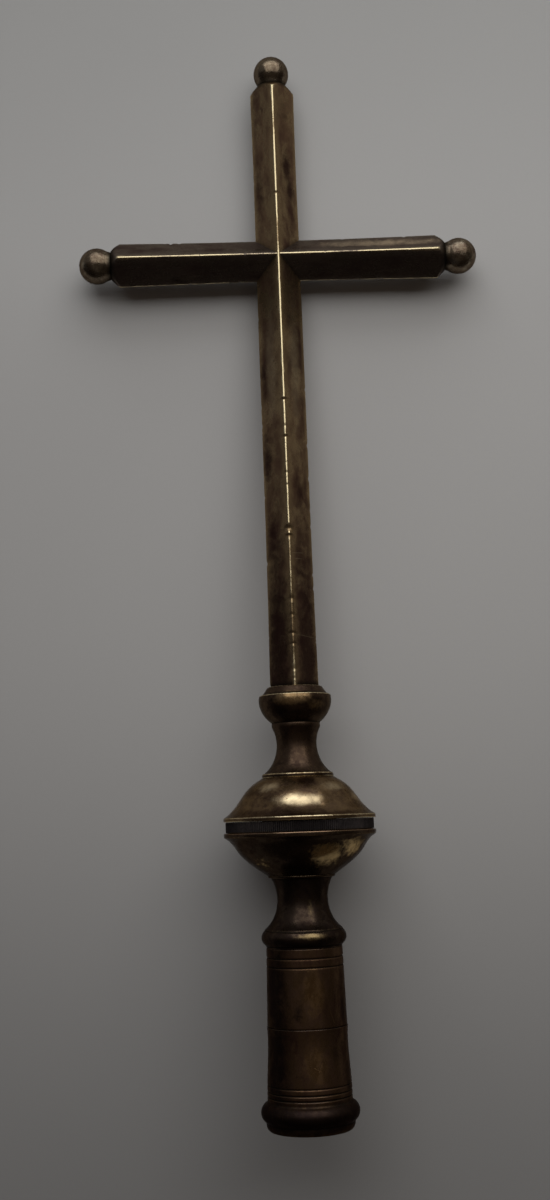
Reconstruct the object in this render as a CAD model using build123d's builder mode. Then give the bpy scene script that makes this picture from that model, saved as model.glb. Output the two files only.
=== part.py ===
from build123d import *

import os
from math import cos, radians, sin, sqrt, tau

# Processional cross: a cross of square bars set on edge, a turned knop, a round node with a
# knurled screw collar, and a socket that takes the end of a pole.
# Millimetres. +Z is up, +X is to the right of a viewer who faces the cross, -Y is its front.
# The origin is the centre of the socket's mouth.

# --- Heights of the pieces, stacked from the mouth up ---------------------------------------
lower_ferrule_h = 44.6
upper_ferrule_h = 34.4
neck_h = 32.0
bowl_h = 19.5
collar_space = 5.0
dome_h = 19.3
knop_h = 41.6
upright_h = 297.0
crossing_h = 207.3

ferrule_joint_z = lower_ferrule_h
neck_z = ferrule_joint_z + upper_ferrule_h
bowl_z = neck_z + neck_h
rim_z = bowl_z + bowl_h
flange_z = rim_z + collar_space
knop_z = flange_z + dome_h
foot_z = knop_z + knop_h
tip_z = foot_z + upright_h
cross_z = foot_z + crossing_h

# --- Bars ------------------------------------------------------------------------------------
arm_reach = 80.7
foot_side = 16.4
low_side = 15.8
crossing_side = 15.4
high_side = 15.2
tip_side = 15.6
foot_flare_h = 40.0
tip_flare_h = 60.0
arm_side = 15.1
arm_end_side = 16.0
arm_flare = 45.0
bar_end_r = 7.0
ridge_wear = 0.3

# --- Finial balls ----------------------------------------------------------------------------
ball_r = 8.6
ball_centre_out = 7.0
ball_neck_r = 6.4
ball_root_r = 7.1
stud_r = 3.0
stud_depth = 8.0

# --- Pole socket -----------------------------------------------------------------------------
pole_bore_r = 15.0
mouth_bevel = 0.8
lip_wall = 4.4
bead_wall = 7.0
ferrule_foot_wall = 3.95
ferrule_waist_wall = 3.4
ferrule_joint_wall = 3.15
upper_foot_wall = 2.9
upper_top_wall = 2.2
joint_overlap = 10.0
joint_wall = 1.2
neck_plug_h = 7.0
plug_step = 0.6
lip_h = 3.4
bead_h = 8.6
groove_r = 0.35
lower_groove_heights = (14.6, 16.9, 19.6)
upper_groove_heights = (70.8, 74.7)

# --- Neck ------------------------------------------------------------------------------------
neck_bead_wall = 4.2
neck_bead_h = 7.2
neck_shoulder_wall = 2.9
neck_waist_r = 11.5
neck_top_r = 15.3
neck_top_h = 1.2
boss_r = 10.0
boss_h = 9.0

# --- Node: bowl, dome and collar -------------------------------------------------------------
flange_r = 34.8
flange_edge_h = 1.9
rim_seat_margin = 3.4
rim_ledge = 1.4
disc_t = 2.0
bowl_foot_r = 16.2
bowl_belly_h = 10.0
bowl_belly_inset = 6.8
bowl_cove_inset = 4.35
dome_cove_inset = 4.9
dome_shoulder_inset = 10.2
dome_top_r = 17.0
shell_wall = 1.3
shell_floor_t = 2.2
knurl_recess = 0.9
knurl_depth = 0.35
knurl_count = 220
skirt_wall = 1.8
seat_wall = 1.75
seat_margin = 2.4
shoulder_t = 1.7
collar_land = 5.0
keeper_t = 1.8
keeper_margin = 0.5
thread_runout = 0.6

# --- Knop ------------------------------------------------------------------------------------
knop_foot_r = 16.4
knop_foot_h = 2.0
knop_waist_r = 9.2
knop_band_r = 11.2
knop_belly_r = 16.8
knop_lip_r = 14.9
knop_top_r = 12.6

# --- Tang, nuts and fits ---------------------------------------------------------------------
tang_r = 6.0
tang_depth = 20.0
tang_square = 8.0
tang_tip_z = bowl_z - 21.0
nut_flats = 18.0
nut_t = 7.5
shell_nut_flats = 24.0
shell_nut_t = 5.0
fit_gap = 0.05
slide_gap = 0.1
square_clearance = 2.0

knurl_r = flange_r - knurl_recess
rim_seat_r = flange_r - rim_seat_margin
ledge_r = rim_seat_r - rim_ledge
bowl_belly_r = flange_r - bowl_belly_inset
dome_shoulder_r = flange_r - dome_shoulder_inset
skirt_r = bowl_belly_r - seat_margin - seat_wall - fit_gap
collar_bore_r = skirt_r - skirt_wall
hub_r = collar_bore_r - collar_land - fit_gap
thread_length = bowl_h - bowl_belly_h - thread_runout
keeper_bottom_z = flange_z - shoulder_t - 2 * slide_gap - keeper_t
nut_bottom_z = keeper_bottom_z - nut_t


def turning_plane(base, outward):
    """Plane to draw half a turned outline in: x is the radius, y runs outward along the axis."""
    outward = Vector(outward)
    return Plane(origin=base, x_dir=(0, 1, 0), z_dir=Vector(0, 1, 0).cross(outward))


def bar_plane(base, along, across, angle):
    """Plane through a bar's axis, its x turned by angle from across about the axis."""
    along = Vector(along)
    across = Vector(across)
    side = along.cross(across)
    x_dir = across * cos(radians(angle)) + side * sin(radians(angle))
    return Plane(origin=base, x_dir=x_dir, z_dir=x_dir.cross(along))


def square_bar(base, along, across, stations):
    """Square bar on edge with worn ridges: four crossed outlines, kept where they all meet."""
    ridge = [(half * sqrt(2) - ridge_wear, place) for half, place in stations]
    cuts = [(45, stations), (135, stations), (0, ridge), (90, ridge)]
    for index, (angle, outline) in enumerate(cuts):
        first, last = outline[0], outline[-1]
        with BuildSketch(bar_plane(base, along, across, angle)) as section:
            with BuildLine():
                Spline(*outline)
                Spline(*[(-half, place) for half, place in outline])
                Line((-first[0], first[1]), first)
                Line((-last[0], last[1]), last)
            make_face()
        mode = Mode.INTERSECT if index else Mode.ADD
        extrude(section.sketch, amount=2 * foot_side, both=True, mode=mode)


# --- Cross: two halved bars ------------------------------------------------------------------
upright_stations = [
    (foot_side / 2, foot_z),
    (low_side / 2, foot_z + foot_flare_h),
    (crossing_side / 2, cross_z),
    (high_side / 2, tip_z - tip_flare_h),
    (tip_side / 2, tip_z),
]
arm_stations = [
    (arm_end_side / 2, -arm_reach),
    (arm_side / 2, -arm_reach + arm_flare),
    (arm_side / 2, arm_reach - arm_flare),
    (arm_end_side / 2, arm_reach),
]
turning_r = foot_side

with BuildPart() as upright_blank:
    square_bar((0, 0, 0), (0, 0, 1), (1, 0, 0), upright_stations)
    with BuildSketch(Plane.XZ):
        Polygon(
            (0, foot_z),
            (turning_r, foot_z),
            (turning_r, tip_z - turning_r + bar_end_r),
            (bar_end_r, tip_z),
            (0, tip_z),
            align=None,
        )
    revolve(axis=Axis.Z, mode=Mode.INTERSECT)

crossing = Vector(0, 0, cross_z)
with BuildPart() as cross_blank:
    square_bar(crossing, (1, 0, 0), (0, 1, 0), arm_stations)
    with BuildSketch(turning_plane(crossing, (1, 0, 0))):
        Polygon(
            (0, -arm_reach),
            (bar_end_r, -arm_reach),
            (turning_r, -arm_reach + turning_r - bar_end_r),
            (turning_r, arm_reach - turning_r + bar_end_r),
            (bar_end_r, arm_reach),
            (0, arm_reach),
            align=None,
        )
    revolve(axis=Axis(crossing, (1, 0, 0)), mode=Mode.INTERSECT)

# The front half of the crossing belongs to the cross bar, the back half to the upright.
half_block = Box(4 * foot_side, 2 * foot_side, 4 * foot_side)
front_block = Pos(0, -foot_side, cross_z) * half_block
back_block = Pos(0, foot_side, cross_z) * half_block
front_lap = cross_blank.part & front_block
back_lap = upright_blank.part & back_block

with BuildPart() as upright_bar:
    add(upright_blank.part)
    add(front_lap, mode=Mode.SUBTRACT)
    with BuildSketch(Plane.XY.offset(tip_z - stud_depth)):
        Circle(stud_r + fit_gap)
    extrude(amount=stud_depth, mode=Mode.SUBTRACT)
    with BuildSketch(Plane.XY.offset(foot_z)):
        Circle(tang_r + fit_gap)
    extrude(amount=tang_depth, mode=Mode.SUBTRACT)
upright_bar.part.label = "upright_bar"

with BuildPart() as cross_bar:
    add(cross_blank.part)
    add(back_lap, mode=Mode.SUBTRACT)
    for side in (-1, 1):
        with BuildSketch(Plane.YZ.offset(side * (arm_reach - stud_depth))):
            with Locations((0, cross_z)):
                Circle(stud_r + fit_gap)
        extrude(amount=side * stud_depth, mode=Mode.SUBTRACT)
cross_bar.part.label = "cross_bar"

# --- Finial balls and their studs ------------------------------------------------------------
finial_places = {
    "top": ((0, 0, tip_z), (0, 0, 1)),
    "left": ((-arm_reach, 0, cross_z), (-1, 0, 0)),
    "right": ((arm_reach, 0, cross_z), (1, 0, 0)),
}
ball_root = (ball_root_r, ball_centre_out - sqrt(ball_r**2 - ball_root_r**2))
ball_tip = (0, ball_centre_out + ball_r)
finial_pieces = []
for side, (base, outward) in finial_places.items():
    with BuildPart() as ball:
        with BuildSketch(turning_plane(base, outward)):
            with BuildLine():
                Polyline(ball_tip, (0, 0), (ball_neck_r, 0), ball_root)
                ThreePointArc(ball_root, (ball_r, ball_centre_out), ball_tip)
            make_face()
        revolve(axis=Axis(base, outward))
        with BuildSketch(Plane(origin=base, z_dir=outward)):
            Circle(stud_r + fit_gap)
        extrude(amount=stud_depth, mode=Mode.SUBTRACT)
    ball.part.label = f"{side}_ball"

    with BuildPart() as stud:
        with BuildSketch(Plane(origin=base, z_dir=outward)):
            Circle(stud_r)
        extrude(amount=stud_depth, both=True)
    stud.part.label = f"{side}_stud"
    finial_pieces += [ball, stud]

# --- Knop: turned baluster between the cross and the dome ------------------------------------
with BuildPart() as knop:
    with BuildSketch(Plane.XZ):
        with BuildLine():
            Polyline(
                (tang_r + fit_gap, foot_z),
                (tang_r + fit_gap, knop_z),
                (knop_foot_r, knop_z),
                (knop_foot_r, knop_z + knop_foot_h - 0.5),
                (knop_foot_r - 0.5, knop_z + knop_foot_h),
                (knop_foot_r - 1.0, knop_z + knop_foot_h),
            )
            Spline(
                (knop_foot_r - 1.0, knop_z + knop_foot_h),
                (knop_band_r + 0.5, knop_z + 0.15 * knop_h),
                (knop_waist_r, knop_z + 0.37 * knop_h),
                (knop_band_r - 0.3, knop_z + 0.54 * knop_h),
            )
            Polyline(
                (knop_band_r - 0.3, knop_z + 0.54 * knop_h),
                (knop_band_r, knop_z + 0.56 * knop_h),
                (knop_band_r, knop_z + 0.59 * knop_h),
                (knop_band_r - 0.2, knop_z + 0.6 * knop_h),
            )
            Spline(
                (knop_band_r - 0.2, knop_z + 0.6 * knop_h),
                (0.87 * knop_belly_r, knop_z + 0.69 * knop_h),
                (knop_belly_r, knop_z + 0.86 * knop_h),
                (knop_belly_r - 0.3, knop_z + 0.905 * knop_h),
            )
            Polyline(
                (knop_belly_r - 0.3, knop_z + 0.905 * knop_h),
                (knop_lip_r, knop_z + 0.92 * knop_h),
                (knop_top_r, foot_z),
                (tang_r + fit_gap, foot_z),
            )
        make_face()
    revolve(axis=Axis.Z)
knop.part.label = "knop"

# --- Dome: upper shell of the node -----------------------------------------------------------
dome_cove_r = flange_r - dome_cove_inset
dome_curve = [
    (flange_r - 0.3, flange_z + flange_edge_h),
    (dome_cove_r, flange_z + 0.3 * dome_h),
    (0.5 * (dome_cove_r + dome_shoulder_r), flange_z + 0.48 * dome_h),
    (dome_shoulder_r, flange_z + 0.67 * dome_h),
    (0.5 * (dome_shoulder_r + dome_top_r), flange_z + 0.86 * dome_h),
    (dome_top_r, knop_z - 0.4),
]
dome_inside = [(radius - shell_wall, height - shell_wall) for radius, height in dome_curve[1:]]
dome_ledge_z = flange_z + disc_t

with BuildPart() as upper_shell:
    with BuildSketch(Plane.XZ):
        with BuildLine():
            Polyline(
                (tang_r + fit_gap, knop_z),
                (tang_r + fit_gap, dome_inside[-1][1]),
                dome_inside[-1],
            )
            Spline(*reversed(dome_inside))
            Polyline(
                dome_inside[0],
                (ledge_r, dome_inside[0][1] - 0.5),
                (ledge_r, dome_ledge_z),
                (rim_seat_r, dome_ledge_z),
                (rim_seat_r, flange_z),
                (flange_r, flange_z),
                (flange_r, flange_z + flange_edge_h - 0.3),
                dome_curve[0],
            )
            Spline(*dome_curve)
            Polyline(dome_curve[-1], (dome_top_r - 0.4, knop_z), (tang_r + fit_gap, knop_z))
        make_face()
    revolve(axis=Axis.Z)
upper_shell.part.label = "upper_shell"

# --- Hub disc, keeper and nut: they close the dome and hold the collar -----------------------
with BuildPart() as hub_disc:
    with BuildSketch(Plane.XY.offset(flange_z)):
        Circle(rim_seat_r - fit_gap)
    extrude(amount=disc_t)
    with BuildSketch(Plane.XY.offset(keeper_bottom_z + keeper_t)):
        Circle(hub_r)
    extrude(amount=flange_z - keeper_bottom_z - keeper_t)
    with BuildSketch(Plane.XY.offset(keeper_bottom_z)):
        Circle(tang_r + fit_gap)
    extrude(amount=2 * dome_h, mode=Mode.SUBTRACT)
hub_disc.part.label = "hub_disc"

with BuildPart() as keeper_disc:
    with BuildSketch(Plane.XY.offset(keeper_bottom_z)):
        Circle(collar_bore_r - keeper_margin)
        Circle(tang_r + fit_gap, mode=Mode.SUBTRACT)
    extrude(amount=keeper_t)
keeper_disc.part.label = "keeper_disc"

with BuildPart() as clamp_nut:
    with BuildSketch(Plane.XY.offset(nut_bottom_z)):
        RegularPolygon(nut_flats / 2, 6, major_radius=False)
        Circle(tang_r + fit_gap, mode=Mode.SUBTRACT)
    extrude(amount=nut_t)
clamp_nut.part.label = "clamp_nut"

# --- Tang: round and threaded above the nut, square below it ---------------------------------
with BuildPart() as tang:
    with BuildSketch(Plane.XY.offset(nut_bottom_z)):
        Circle(tang_r)
    extrude(amount=foot_z + tang_depth - nut_bottom_z)
    with BuildSketch(Plane.XY.offset(tang_tip_z)):
        Rectangle(tang_square, tang_square)
    extrude(amount=nut_bottom_z - tang_tip_z)
    chamfer(tang.faces().sort_by(Axis.Z)[0].edges(), length=1.0)
tang.part.label = "tang"

# --- Knurled collar: screws into the bowl and draws the head down ----------------------------
collar_top_z = flange_z - slide_gap
collar_bottom_z = rim_z + slide_gap
skirt_bottom_z = rim_z - thread_length - 2 * slide_gap
knurl_points = []
for step in range(2 * knurl_count):
    radius = knurl_r - knurl_depth * (step % 2)
    angle = tau * step / (2 * knurl_count)
    knurl_points.append((radius * cos(angle), radius * sin(angle)))

with BuildPart() as screw_collar:
    with BuildSketch(Plane.XY.offset(collar_bottom_z)):
        Polygon(*knurl_points, align=None)
    extrude(amount=collar_top_z - collar_bottom_z)
    with BuildSketch(Plane.XY.offset(skirt_bottom_z)):
        Circle(skirt_r)
    extrude(amount=collar_bottom_z - skirt_bottom_z)
    with BuildSketch(Plane.XY.offset(skirt_bottom_z)):
        Circle(collar_bore_r)
    extrude(amount=collar_top_z - shoulder_t - skirt_bottom_z, mode=Mode.SUBTRACT)
    with BuildSketch(Plane.XY.offset(skirt_bottom_z)):
        Circle(hub_r + fit_gap)
    extrude(amount=collar_top_z - skirt_bottom_z, mode=Mode.SUBTRACT)
screw_collar.part.label = "screw_collar"

# --- Thread seat: ring brazed into the bowl, it takes the collar's skirt ---------------------
with BuildPart() as thread_seat:
    with BuildSketch(Plane.XY.offset(rim_z - disc_t)):
        Circle(rim_seat_r - fit_gap)
    extrude(amount=disc_t)
    with BuildSketch(Plane.XY.offset(rim_z - thread_length)):
        Circle(skirt_r + fit_gap + seat_wall)
    extrude(amount=thread_length)
    with BuildSketch(Plane.XY.offset(rim_z - thread_length)):
        Circle(skirt_r + fit_gap)
    extrude(amount=thread_length, mode=Mode.SUBTRACT)
thread_seat.part.label = "thread_seat"

# --- Bowl: lower shell of the node -----------------------------------------------------------
bowl_cove_r = flange_r - bowl_cove_inset
belly = (bowl_belly_r, bowl_z + bowl_belly_h)
bowl_curve = [
    (bowl_foot_r, bowl_z + 0.4),
    (bowl_foot_r + 0.36 * (bowl_belly_r - bowl_foot_r), bowl_z + 0.33 * bowl_belly_h),
    (bowl_foot_r + 0.7 * (bowl_belly_r - bowl_foot_r), bowl_z + 0.64 * bowl_belly_h),
    belly,
    (bowl_cove_r, bowl_z + 0.7 * bowl_h),
    (flange_r - 0.3, rim_z - flange_edge_h - 0.3),
]
bowl_inside = [(radius - shell_wall, height + shell_wall) for radius, height in bowl_curve[1:5]]
bowl_floor_z = bowl_z + shell_floor_t

with BuildPart() as lower_shell:
    with BuildSketch(Plane.XZ):
        with BuildLine():
            Polyline(
                bowl_curve[0],
                (bowl_foot_r - 0.4, bowl_z),
                (boss_r + fit_gap, bowl_z),
                (boss_r + fit_gap, bowl_floor_z),
                (bowl_foot_r - shell_wall, bowl_floor_z),
                bowl_inside[0],
            )
            Spline(*bowl_inside)
            Polyline(
                bowl_inside[-1],
                (ledge_r, bowl_inside[-1][1] + 0.9),
                (ledge_r, rim_z - disc_t),
                (rim_seat_r, rim_z - disc_t),
                (rim_seat_r, rim_z),
                (flange_r - 0.3, rim_z),
                (flange_r, rim_z - 0.3),
                (flange_r, rim_z - flange_edge_h),
                bowl_curve[-1],
            )
            Spline(*bowl_curve)
        make_face()
    revolve(axis=Axis.Z)
lower_shell.part.label = "lower_shell"

with BuildPart() as shell_nut:
    with BuildSketch(Plane.XY.offset(bowl_floor_z)):
        RegularPolygon(shell_nut_flats / 2, 6, major_radius=False)
        Circle(boss_r + fit_gap, mode=Mode.SUBTRACT)
    extrude(amount=shell_nut_t)
shell_nut.part.label = "shell_nut"

# --- Neck: plugs the socket, carries the bowl and guides the square tang ---------------------
neck_foot_r = pole_bore_r + upper_top_wall
plug_r = pole_bore_r + plug_step
bead_top_z = neck_z + neck_bead_h
flare_r = pole_bore_r + neck_shoulder_wall
flare_h = bowl_z - neck_top_h - bead_top_z
with BuildPart() as neck:
    with BuildSketch(Plane.XZ):
        with BuildLine():
            Polyline(
                (0, bowl_z + boss_h),
                (0, neck_z - neck_plug_h),
                (plug_r - fit_gap, neck_z - neck_plug_h),
                (plug_r - fit_gap, neck_z),
                (neck_foot_r, neck_z),
                (neck_foot_r, neck_z + 0.8),
            )
            ThreePointArc(
                (neck_foot_r, neck_z + 0.8),
                (pole_bore_r + neck_bead_wall, neck_z + 0.55 * neck_bead_h),
                (flare_r + 0.2, bead_top_z),
            )
            Polyline(
                (flare_r + 0.2, bead_top_z),
                (flare_r - 0.3, bead_top_z + 0.3),
                (flare_r - 0.2, bead_top_z + 0.8),
            )
            Spline(
                (flare_r - 0.2, bead_top_z + 0.8),
                (neck_waist_r + 0.4 * (flare_r - neck_waist_r), bead_top_z + 0.2 * flare_h),
                (neck_waist_r, bead_top_z + 0.58 * flare_h),
                (neck_top_r - 1.3, bowl_z - neck_top_h),
            )
            Polyline(
                (neck_top_r - 1.3, bowl_z - neck_top_h),
                (neck_top_r - 0.3, bowl_z - neck_top_h),
                (neck_top_r, bowl_z - neck_top_h + 0.3),
                (neck_top_r, bowl_z),
                (boss_r, bowl_z),
                (boss_r, bowl_z + boss_h),
                (0, bowl_z + boss_h),
            )
        make_face()
    revolve(axis=Axis.Z)
    with BuildSketch(Plane.XY.offset(tang_tip_z - square_clearance)):
        Rectangle(tang_square + 2 * slide_gap, tang_square + 2 * slide_gap)
    extrude(amount=2 * neck_h, mode=Mode.SUBTRACT)
neck.part.label = "neck"

# --- Upper ferrule: tapered tube, spigotted into the lower one -------------------------------
spigot_r = pole_bore_r + joint_wall
upper_foot_r = pole_bore_r + upper_foot_wall
upper_taper = (upper_foot_wall - upper_top_wall) / upper_ferrule_h
with BuildPart() as upper_ferrule:
    with BuildSketch(Plane.XZ):
        Polygon(
            (pole_bore_r, ferrule_joint_z - joint_overlap),
            (spigot_r - fit_gap, ferrule_joint_z - joint_overlap),
            (spigot_r - fit_gap, ferrule_joint_z),
            (upper_foot_r - 0.3, ferrule_joint_z),
            (upper_foot_r, ferrule_joint_z + 0.3),
            (neck_foot_r, neck_z),
            (plug_r, neck_z),
            (plug_r, neck_z - neck_plug_h),
            (pole_bore_r, neck_z - neck_plug_h),
            align=None,
        )
    revolve(axis=Axis.Z)
    with BuildSketch(Plane.XZ):
        for height in upper_groove_heights:
            with Locations((upper_foot_r - upper_taper * (height - ferrule_joint_z), height)):
                Circle(groove_r)
    revolve(axis=Axis.Z, mode=Mode.SUBTRACT)
upper_ferrule.part.label = "upper_ferrule"

# --- Lower ferrule: the mouth, with its lip and bead -----------------------------------------
lip_r = pole_bore_r + lip_wall
bead_top = lip_h + bead_h
with BuildPart() as lower_ferrule:
    with BuildSketch(Plane.XZ):
        with BuildLine():
            Polyline(
                (pole_bore_r + ferrule_joint_wall, ferrule_joint_z),
                (spigot_r, ferrule_joint_z),
                (spigot_r, ferrule_joint_z - joint_overlap),
                (pole_bore_r, ferrule_joint_z - joint_overlap),
                (pole_bore_r, mouth_bevel),
                (pole_bore_r + mouth_bevel, 0),
                (lip_r - 0.9, 0),
            )
            Spline((lip_r - 0.9, 0), (lip_r, 1.1), (lip_r + 0.4, lip_h))
            Line((lip_r + 0.4, lip_h), (lip_r + 0.6, lip_h + 0.4))
            ThreePointArc(
                (lip_r + 0.6, lip_h + 0.4),
                (pole_bore_r + bead_wall, lip_h + 0.42 * bead_h),
                (pole_bore_r + ferrule_foot_wall + 0.3, bead_top),
            )
            Line(
                (pole_bore_r + ferrule_foot_wall + 0.3, bead_top),
                (pole_bore_r + ferrule_foot_wall, bead_top + 0.6),
            )
            Spline(
                (pole_bore_r + ferrule_foot_wall, bead_top + 0.6),
                (pole_bore_r + ferrule_foot_wall - 0.1, bead_top + 8.0),
                (pole_bore_r + ferrule_waist_wall, bead_top + 15.5),
                (pole_bore_r + ferrule_joint_wall, ferrule_joint_z),
            )
        make_face()
    revolve(axis=Axis.Z)
    with BuildSketch(Plane.XZ):
        for height in lower_groove_heights:
            with Locations((pole_bore_r + ferrule_foot_wall - 0.05, height)):
                Circle(groove_r)
    revolve(axis=Axis.Z, mode=Mode.SUBTRACT)
lower_ferrule.part.label = "lower_ferrule"

# --- Write every piece as its own STEP file --------------------------------------------------
os.makedirs("parts", exist_ok=True)
head_pieces = [upright_bar, cross_bar, *finial_pieces, knop, upper_shell]
head_pieces += [hub_disc, keeper_disc, clamp_nut, tang]
socket_pieces = [lower_shell, thread_seat, shell_nut, neck, upper_ferrule, lower_ferrule]
for piece in head_pieces + [screw_collar] + socket_pieces:
    export_step(piece.part, f"parts/{piece.part.label}.step")
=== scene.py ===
# %% [markdown]
# A processional cross in old brass. Two square bars set on edge are halved into each other. They
# stand on a turned knop and a round node, and a knurled collar screws the head down on a socket
# for a pole. The sizes already exist as a measured frame, so nothing here is sized by eye: each
# visible piece is made again over its frame piece, finer, with soft edges, nicks and a finish.

import math
import random

import bmesh
import bpy
import numpy as np
from mathutils import Matrix, Vector, noise
from mathutils.bvhtree import BVHTree


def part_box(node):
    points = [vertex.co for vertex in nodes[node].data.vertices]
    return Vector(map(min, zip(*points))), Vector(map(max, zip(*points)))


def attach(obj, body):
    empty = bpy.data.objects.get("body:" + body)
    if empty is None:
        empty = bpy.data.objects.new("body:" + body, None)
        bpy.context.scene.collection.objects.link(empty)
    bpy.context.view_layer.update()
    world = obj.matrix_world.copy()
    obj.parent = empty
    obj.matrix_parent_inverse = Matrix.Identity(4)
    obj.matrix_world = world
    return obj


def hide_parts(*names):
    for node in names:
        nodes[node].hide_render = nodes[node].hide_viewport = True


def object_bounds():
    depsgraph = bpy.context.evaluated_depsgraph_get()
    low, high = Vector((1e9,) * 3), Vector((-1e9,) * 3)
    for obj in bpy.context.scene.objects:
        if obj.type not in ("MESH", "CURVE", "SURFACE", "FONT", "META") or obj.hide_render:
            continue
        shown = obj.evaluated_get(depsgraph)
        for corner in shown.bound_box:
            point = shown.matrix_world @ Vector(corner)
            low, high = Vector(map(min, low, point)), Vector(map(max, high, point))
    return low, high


MM = 0.001
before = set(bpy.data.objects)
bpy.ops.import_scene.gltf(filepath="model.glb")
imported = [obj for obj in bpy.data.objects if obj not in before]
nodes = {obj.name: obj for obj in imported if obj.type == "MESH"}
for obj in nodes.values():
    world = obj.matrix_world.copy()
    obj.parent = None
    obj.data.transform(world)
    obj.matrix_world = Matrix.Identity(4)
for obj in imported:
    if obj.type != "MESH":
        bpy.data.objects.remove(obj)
frame_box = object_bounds()

# %% [markdown]
# Places come from the frame's own boxes. The upright gives the height of its foot and tip, the
# arms give their reach, and the middle of the arms' box is the height of the crossing.

# %% Find the main places
upright_low, upright_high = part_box("upright_bar")
arms_low, arms_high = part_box("cross_bar")
foot_z = upright_low.z
tip_z = upright_high.z
arm_end = arms_high.x
crossing = Vector((0, 0, (arms_low.z + arms_high.z) / 2))
print("crossing at", round(crossing.z / MM, 1), "mm, arms reach", round(arm_end / MM, 1), "mm")

# %% [markdown]
# Every turned piece was cut on a lathe from one outline, so the best way back to its shape is to
# slice the frame piece from its axis outwards and read that outline. A bisect cut gives the edges
# that lie in the slice, and walking from one to the next puts the points in order. An outline
# that starts and ends on the axis stays open, and one round a bore closes on itself.

# %% Read the outline of a turned piece
WELD = 0.002 * MM


def outline_of(node, base=(0, 0, 0), axis=(0, 0, 1), seam=(1, 0, 0)):
    """Points (radius, height) of a turned frame piece in metres, and whether they close."""
    base, axis, seam = Vector(base), Vector(axis), Vector(seam)
    cut = bmesh.new()
    cut.from_mesh(nodes[node].data)
    bmesh.ops.remove_doubles(cut, verts=cut.verts, dist=WELD)
    everything = cut.verts[:] + cut.edges[:] + cut.faces[:]
    sliced = bmesh.ops.bisect_plane(
        cut, geom=everything, dist=WELD, plane_co=base, plane_no=axis.cross(seam)
    )
    neighbours = {}
    for edge in sliced["geom_cut"]:
        if not isinstance(edge, bmesh.types.BMEdge):
            continue
        one, two = edge.verts
        if min((one.co - base).dot(seam), (two.co - base).dot(seam)) < -WELD:
            continue
        neighbours.setdefault(one, []).append(two)
        neighbours.setdefault(two, []).append(one)
    ends = [vert for vert, around in neighbours.items() if len(around) == 1]
    chain = [ends[0] if ends else next(iter(neighbours))]
    before = None
    while True:
        onward = [vert for vert in neighbours[chain[-1]] if vert is not before]
        if not onward or onward[0] is chain[0]:
            break
        before = chain[-1]
        chain.append(onward[0])
    points = [((vert.co - base).dot(seam), (vert.co - base).dot(axis)) for vert in chain]
    cut.free()
    return np.array(points), not ends


knop_outline, knop_closes = outline_of("knop")
print("the knop's outline has", len(knop_outline), "points, closed:", knop_closes)

# %% [markdown]
# A computer edge is perfectly sharp, and no old brass edge is. The outline is first redrawn as a
# smooth curve between its corners, then a short moving average rounds every corner by a fraction
# of a millimetre. The turn of the softened line shows where it bulges, which is where cloth and
# hands wear it bright, and where it folds in, which is painted darker.

# %% Redraw and soften an outline
DRAW_STEP = 0.08 * MM
CORNER_TURN = math.radians(10)
UNEVEN_LEGS = 3.0
EDGE_SOFTNESS = 3
WEAR_WINDOW = 5
FULL_WEAR_TURN = math.radians(38)


def redrawn(points, closed):
    """The outline with a point every DRAW_STEP, curved through all but its corner points."""
    count = len(points)
    legs = count if closed else count - 1

    def is_corner(index):
        if not closed and index in (0, count - 1):
            return True
        back = points[index] - points[index - 1]
        ahead = points[(index + 1) % count] - points[index]
        turn = abs(math.atan2(back[0] * ahead[1] - back[1] * ahead[0], back @ ahead))
        long, short = sorted((np.linalg.norm(back), np.linalg.norm(ahead)), reverse=True)
        return turn > CORNER_TURN or long > UNEVEN_LEGS * short

    drawn = []
    for index in range(legs):
        here, there = points[index], points[(index + 1) % count]
        before = 2 * here - there if is_corner(index) else points[index - 1]
        beyond = 2 * there - here
        if not is_corner((index + 1) % count):
            beyond = points[(index + 2) % count]
        pieces = max(1, round(np.linalg.norm(there - here) / DRAW_STEP))
        for step in range(pieces):
            t = step / pieces
            curve = 2 * here + (there - before) * t
            curve = curve + (2 * before - 5 * here + 4 * there - beyond) * t * t
            curve = curve + (3 * here - before - 3 * there + beyond) * t**3
            drawn.append(curve / 2)
    if not closed:
        drawn.append(points[-1])
    return np.array(drawn)


def around(line, closed, reach):
    """The line with reach extra points at both ends, so that a window never runs out."""
    if closed:
        return np.concatenate([line[-reach:], line, line[:reach]])
    start = 2 * line[0] - line[reach:0:-1]
    end = 2 * line[-1] - line[-2 : -reach - 2 : -1]
    return np.concatenate([start, line, end])


def softened(line, closed, reach=EDGE_SOFTNESS):
    """The line with its corners rounded by two passes of a moving average."""
    for _ in range(2):
        wide = around(line, closed, reach)
        window = np.ones(2 * reach + 1) / (2 * reach + 1)
        line = np.stack([np.convolve(wide[:, k], window, "valid") for k in (0, 1)], axis=1)
    return line


def turn_along(line, closed):
    """How sharply the line turns at each point: positive where the metal bulges outwards."""
    wide = around(line, closed, WEAR_WINDOW)
    back = line - wide[: -2 * WEAR_WINDOW]
    ahead = wide[2 * WEAR_WINDOW :] - line
    crossed = back[:, 0] * ahead[:, 1] - back[:, 1] * ahead[:, 0]
    turn = np.arctan2(crossed, (back * ahead).sum(axis=1))
    r, z = line[:, 0], line[:, 1]
    area = (r * np.roll(z, -1) - np.roll(r, -1) * z).sum()
    return turn if area > 0 else -turn


fine_knop = softened(redrawn(knop_outline, knop_closes), knop_closes)
print("redrawn, it has", len(fine_knop), "points")

# %% [markdown]
# That many rings would make a heavy mesh, and straight stretches don't need them. The Douglas and
# Peucker method keeps only the points that the shape, the wear and the darker folds need: it keeps
# the point furthest from the straight line between two kept points until none is far off.

# %% Keep the points that matter
FLATNESS = 0.012 * MM
MASK_WEIGHT = 0.10 * MM
LONGEST_LEG = 1.5 * MM


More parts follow.
